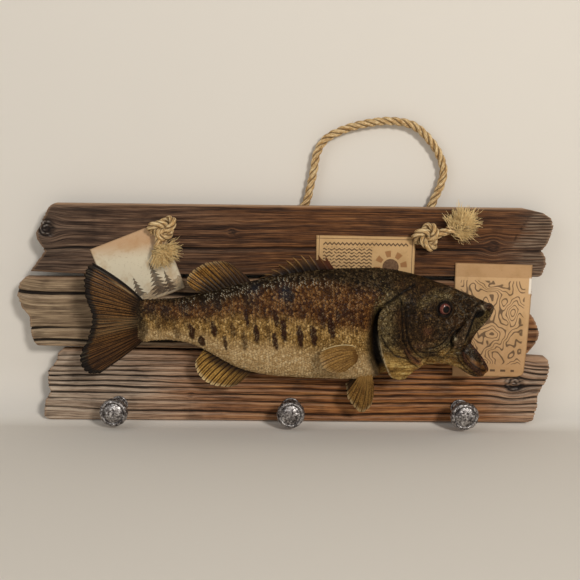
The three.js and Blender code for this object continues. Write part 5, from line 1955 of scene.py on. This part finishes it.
def makeFin(name, look):
    rays, rows, perRay = look["rays"], 44, 14
    columns = rays * perRay + 1
    out = unit(np.array(look["facing"], float))
    u = np.linspace(0, 1, columns)
    stops = np.linspace(0, 1, 400)
    base, edge = curveThrough(look["base"], 400), curveThrough(look["edge"], 400)
    root, tip = [np.stack([np.interp(u, stops, line[:, k]) for k in range(3)], -1) for line in (base, edge)]
    # each ray leaves its root one way and bends over to its tip
    first, last = np.array(look["leave"], float)
    chord = unit(tip - root)
    forward, backward = (1 - u[:, None]) ** look["pull"], u[:, None] ** look["pull"]
    leave = chord + (first - chord[0]) * forward + (last - chord[-1]) * backward
    elbow = root + unit(leave) * 0.45 * np.linalg.norm(tip - root, axis=1)[:, None]
    phase = u * rays + 0.22 * np.sin(math.pi * u) * ripple(u * 9, len(name), 0, 30)
    fromRay = phase - np.round(phase)
    t = np.linspace(0, 1, rows)[:, None]
    if look["kind"] == "spiny":
        crest = peak(fromRay, 0.11)[None] + 0 * t
        short = 0.3 * blend(0, 0.45, phase % 1) * (1 - peak(fromRay, 0.1))
    else:
        gap = peak(0.5 - np.abs(fromRay), 0.19)
        fork = peak(fromRay, 0.1)[None] * blend(0.3, 0.8, t) * look["fork"] * 0.75
        crest = 1 - np.maximum(gap[None] + 0 * t, fork)
        short = 0.018 * gap
    short = short + 0.02 * np.abs(ripple(phase * 2.3, len(name), 0, 27))
    reach = t * (1 - short[None] * t ** 2)
    along = reach[..., None]
    spine = (1 - along) ** 2 * root + 2 * along * (1 - along) * elbow + along ** 2 * tip
    wave = 0.6 * np.sin(2 * math.pi * u * 2.3 + 1)[None] * t ** 1.5
    spine = spine + out * (wave + 0.35 * ripple(u * 7, 0, len(name), 28)[None] * t)[..., None]
    thickBase, thickEdge = look["thick"]
    full = thickBase + (thickEdge - thickBase) * t
    half = np.maximum(full * (0.42 + 0.58 * crest), 0.5) / 2
    sheets = np.stack([spine + out * half[..., None], spine - out * half[..., None]])
    sheets[..., 1] = np.minimum(sheets[..., 1], cardFace)
    mark = np.stack([reach, np.broadcast_to(u, (rows, columns)), crest], axis=-1)
    mesh = makeMesh(name, sheets, [sheetFaces(rows, columns)], fin=np.stack([mark, mark]))
    faceOutward(mesh)
    piece(f"rayed_{name}", mesh, finPaint(name, look, float(distances(edge)[-1])), "fish_fin", name)


for name, look in finLooks.items():
    makeFin(name, finPlain | look)
print("fins")

# ---- room and light

roomLook = {
    "wall": "dcd6cc", "shade": "cfc8bd", "floorHeight": -0.1305, "wallPlace": 0.0045,
    "light": (1, 0.985, 0.96, 1), "strength": 0.29,
}


def addStage():
    paint = Paint("room")
    colour = paint.mix(paint.noise(paint.spot(), 3, 2) * 0.2, roomLook["wall"], roomLook["shade"])
    finish = paint.finish(colour, 0.9)
    floor, wall = roomLook["floorHeight"] / mm, roomLook["wallPlace"] / mm
    sides = np.array([-3000, 3000])
    profile = [(-4000, floor), (wall - 60, floor), (wall, floor), (wall, floor + 60), (wall, 2600)]
    points = [(x, y, z) for y, z in profile for x in sides]
    made = addObject("room", makeMesh("room", points, [gridFaces(len(profile), 2)], flat=True), finish)


def addLamp(name, aim, distance, size, power, colour):
    lamp = bpy.data.lights.new(name, "AREA")
    lamp.shape = "DISK"
    lamp.size = size
    lamp.energy = power
    lamp.color = colour
    made = bpy.data.objects.new(name, lamp)
    made.location = Vector(aim).normalized() * distance
    made.rotation_euler = (-made.location).to_track_quat("-Z", "Y").to_euler()
    scene.collection.objects.link(made)


lampLooks = [
    ("key", (0.42, -1, 0.43), 2.6, 0.42, 35, (1, 0.965, 0.925)),
    ("fill", (-0.8, -1, 0.5), 2.2, 1.6, 7, (0.97, 0.98, 1)),
]
addStage()
for lamp in lampLooks:
    addLamp(*lamp)
world = bpy.data.worlds.new("studio")
scene.world = world
world.use_nodes = True
background = world.node_tree.nodes["Background"]
background.inputs[0].default_value = roomLook["light"]
background.inputs[1].default_value = roomLook["strength"]
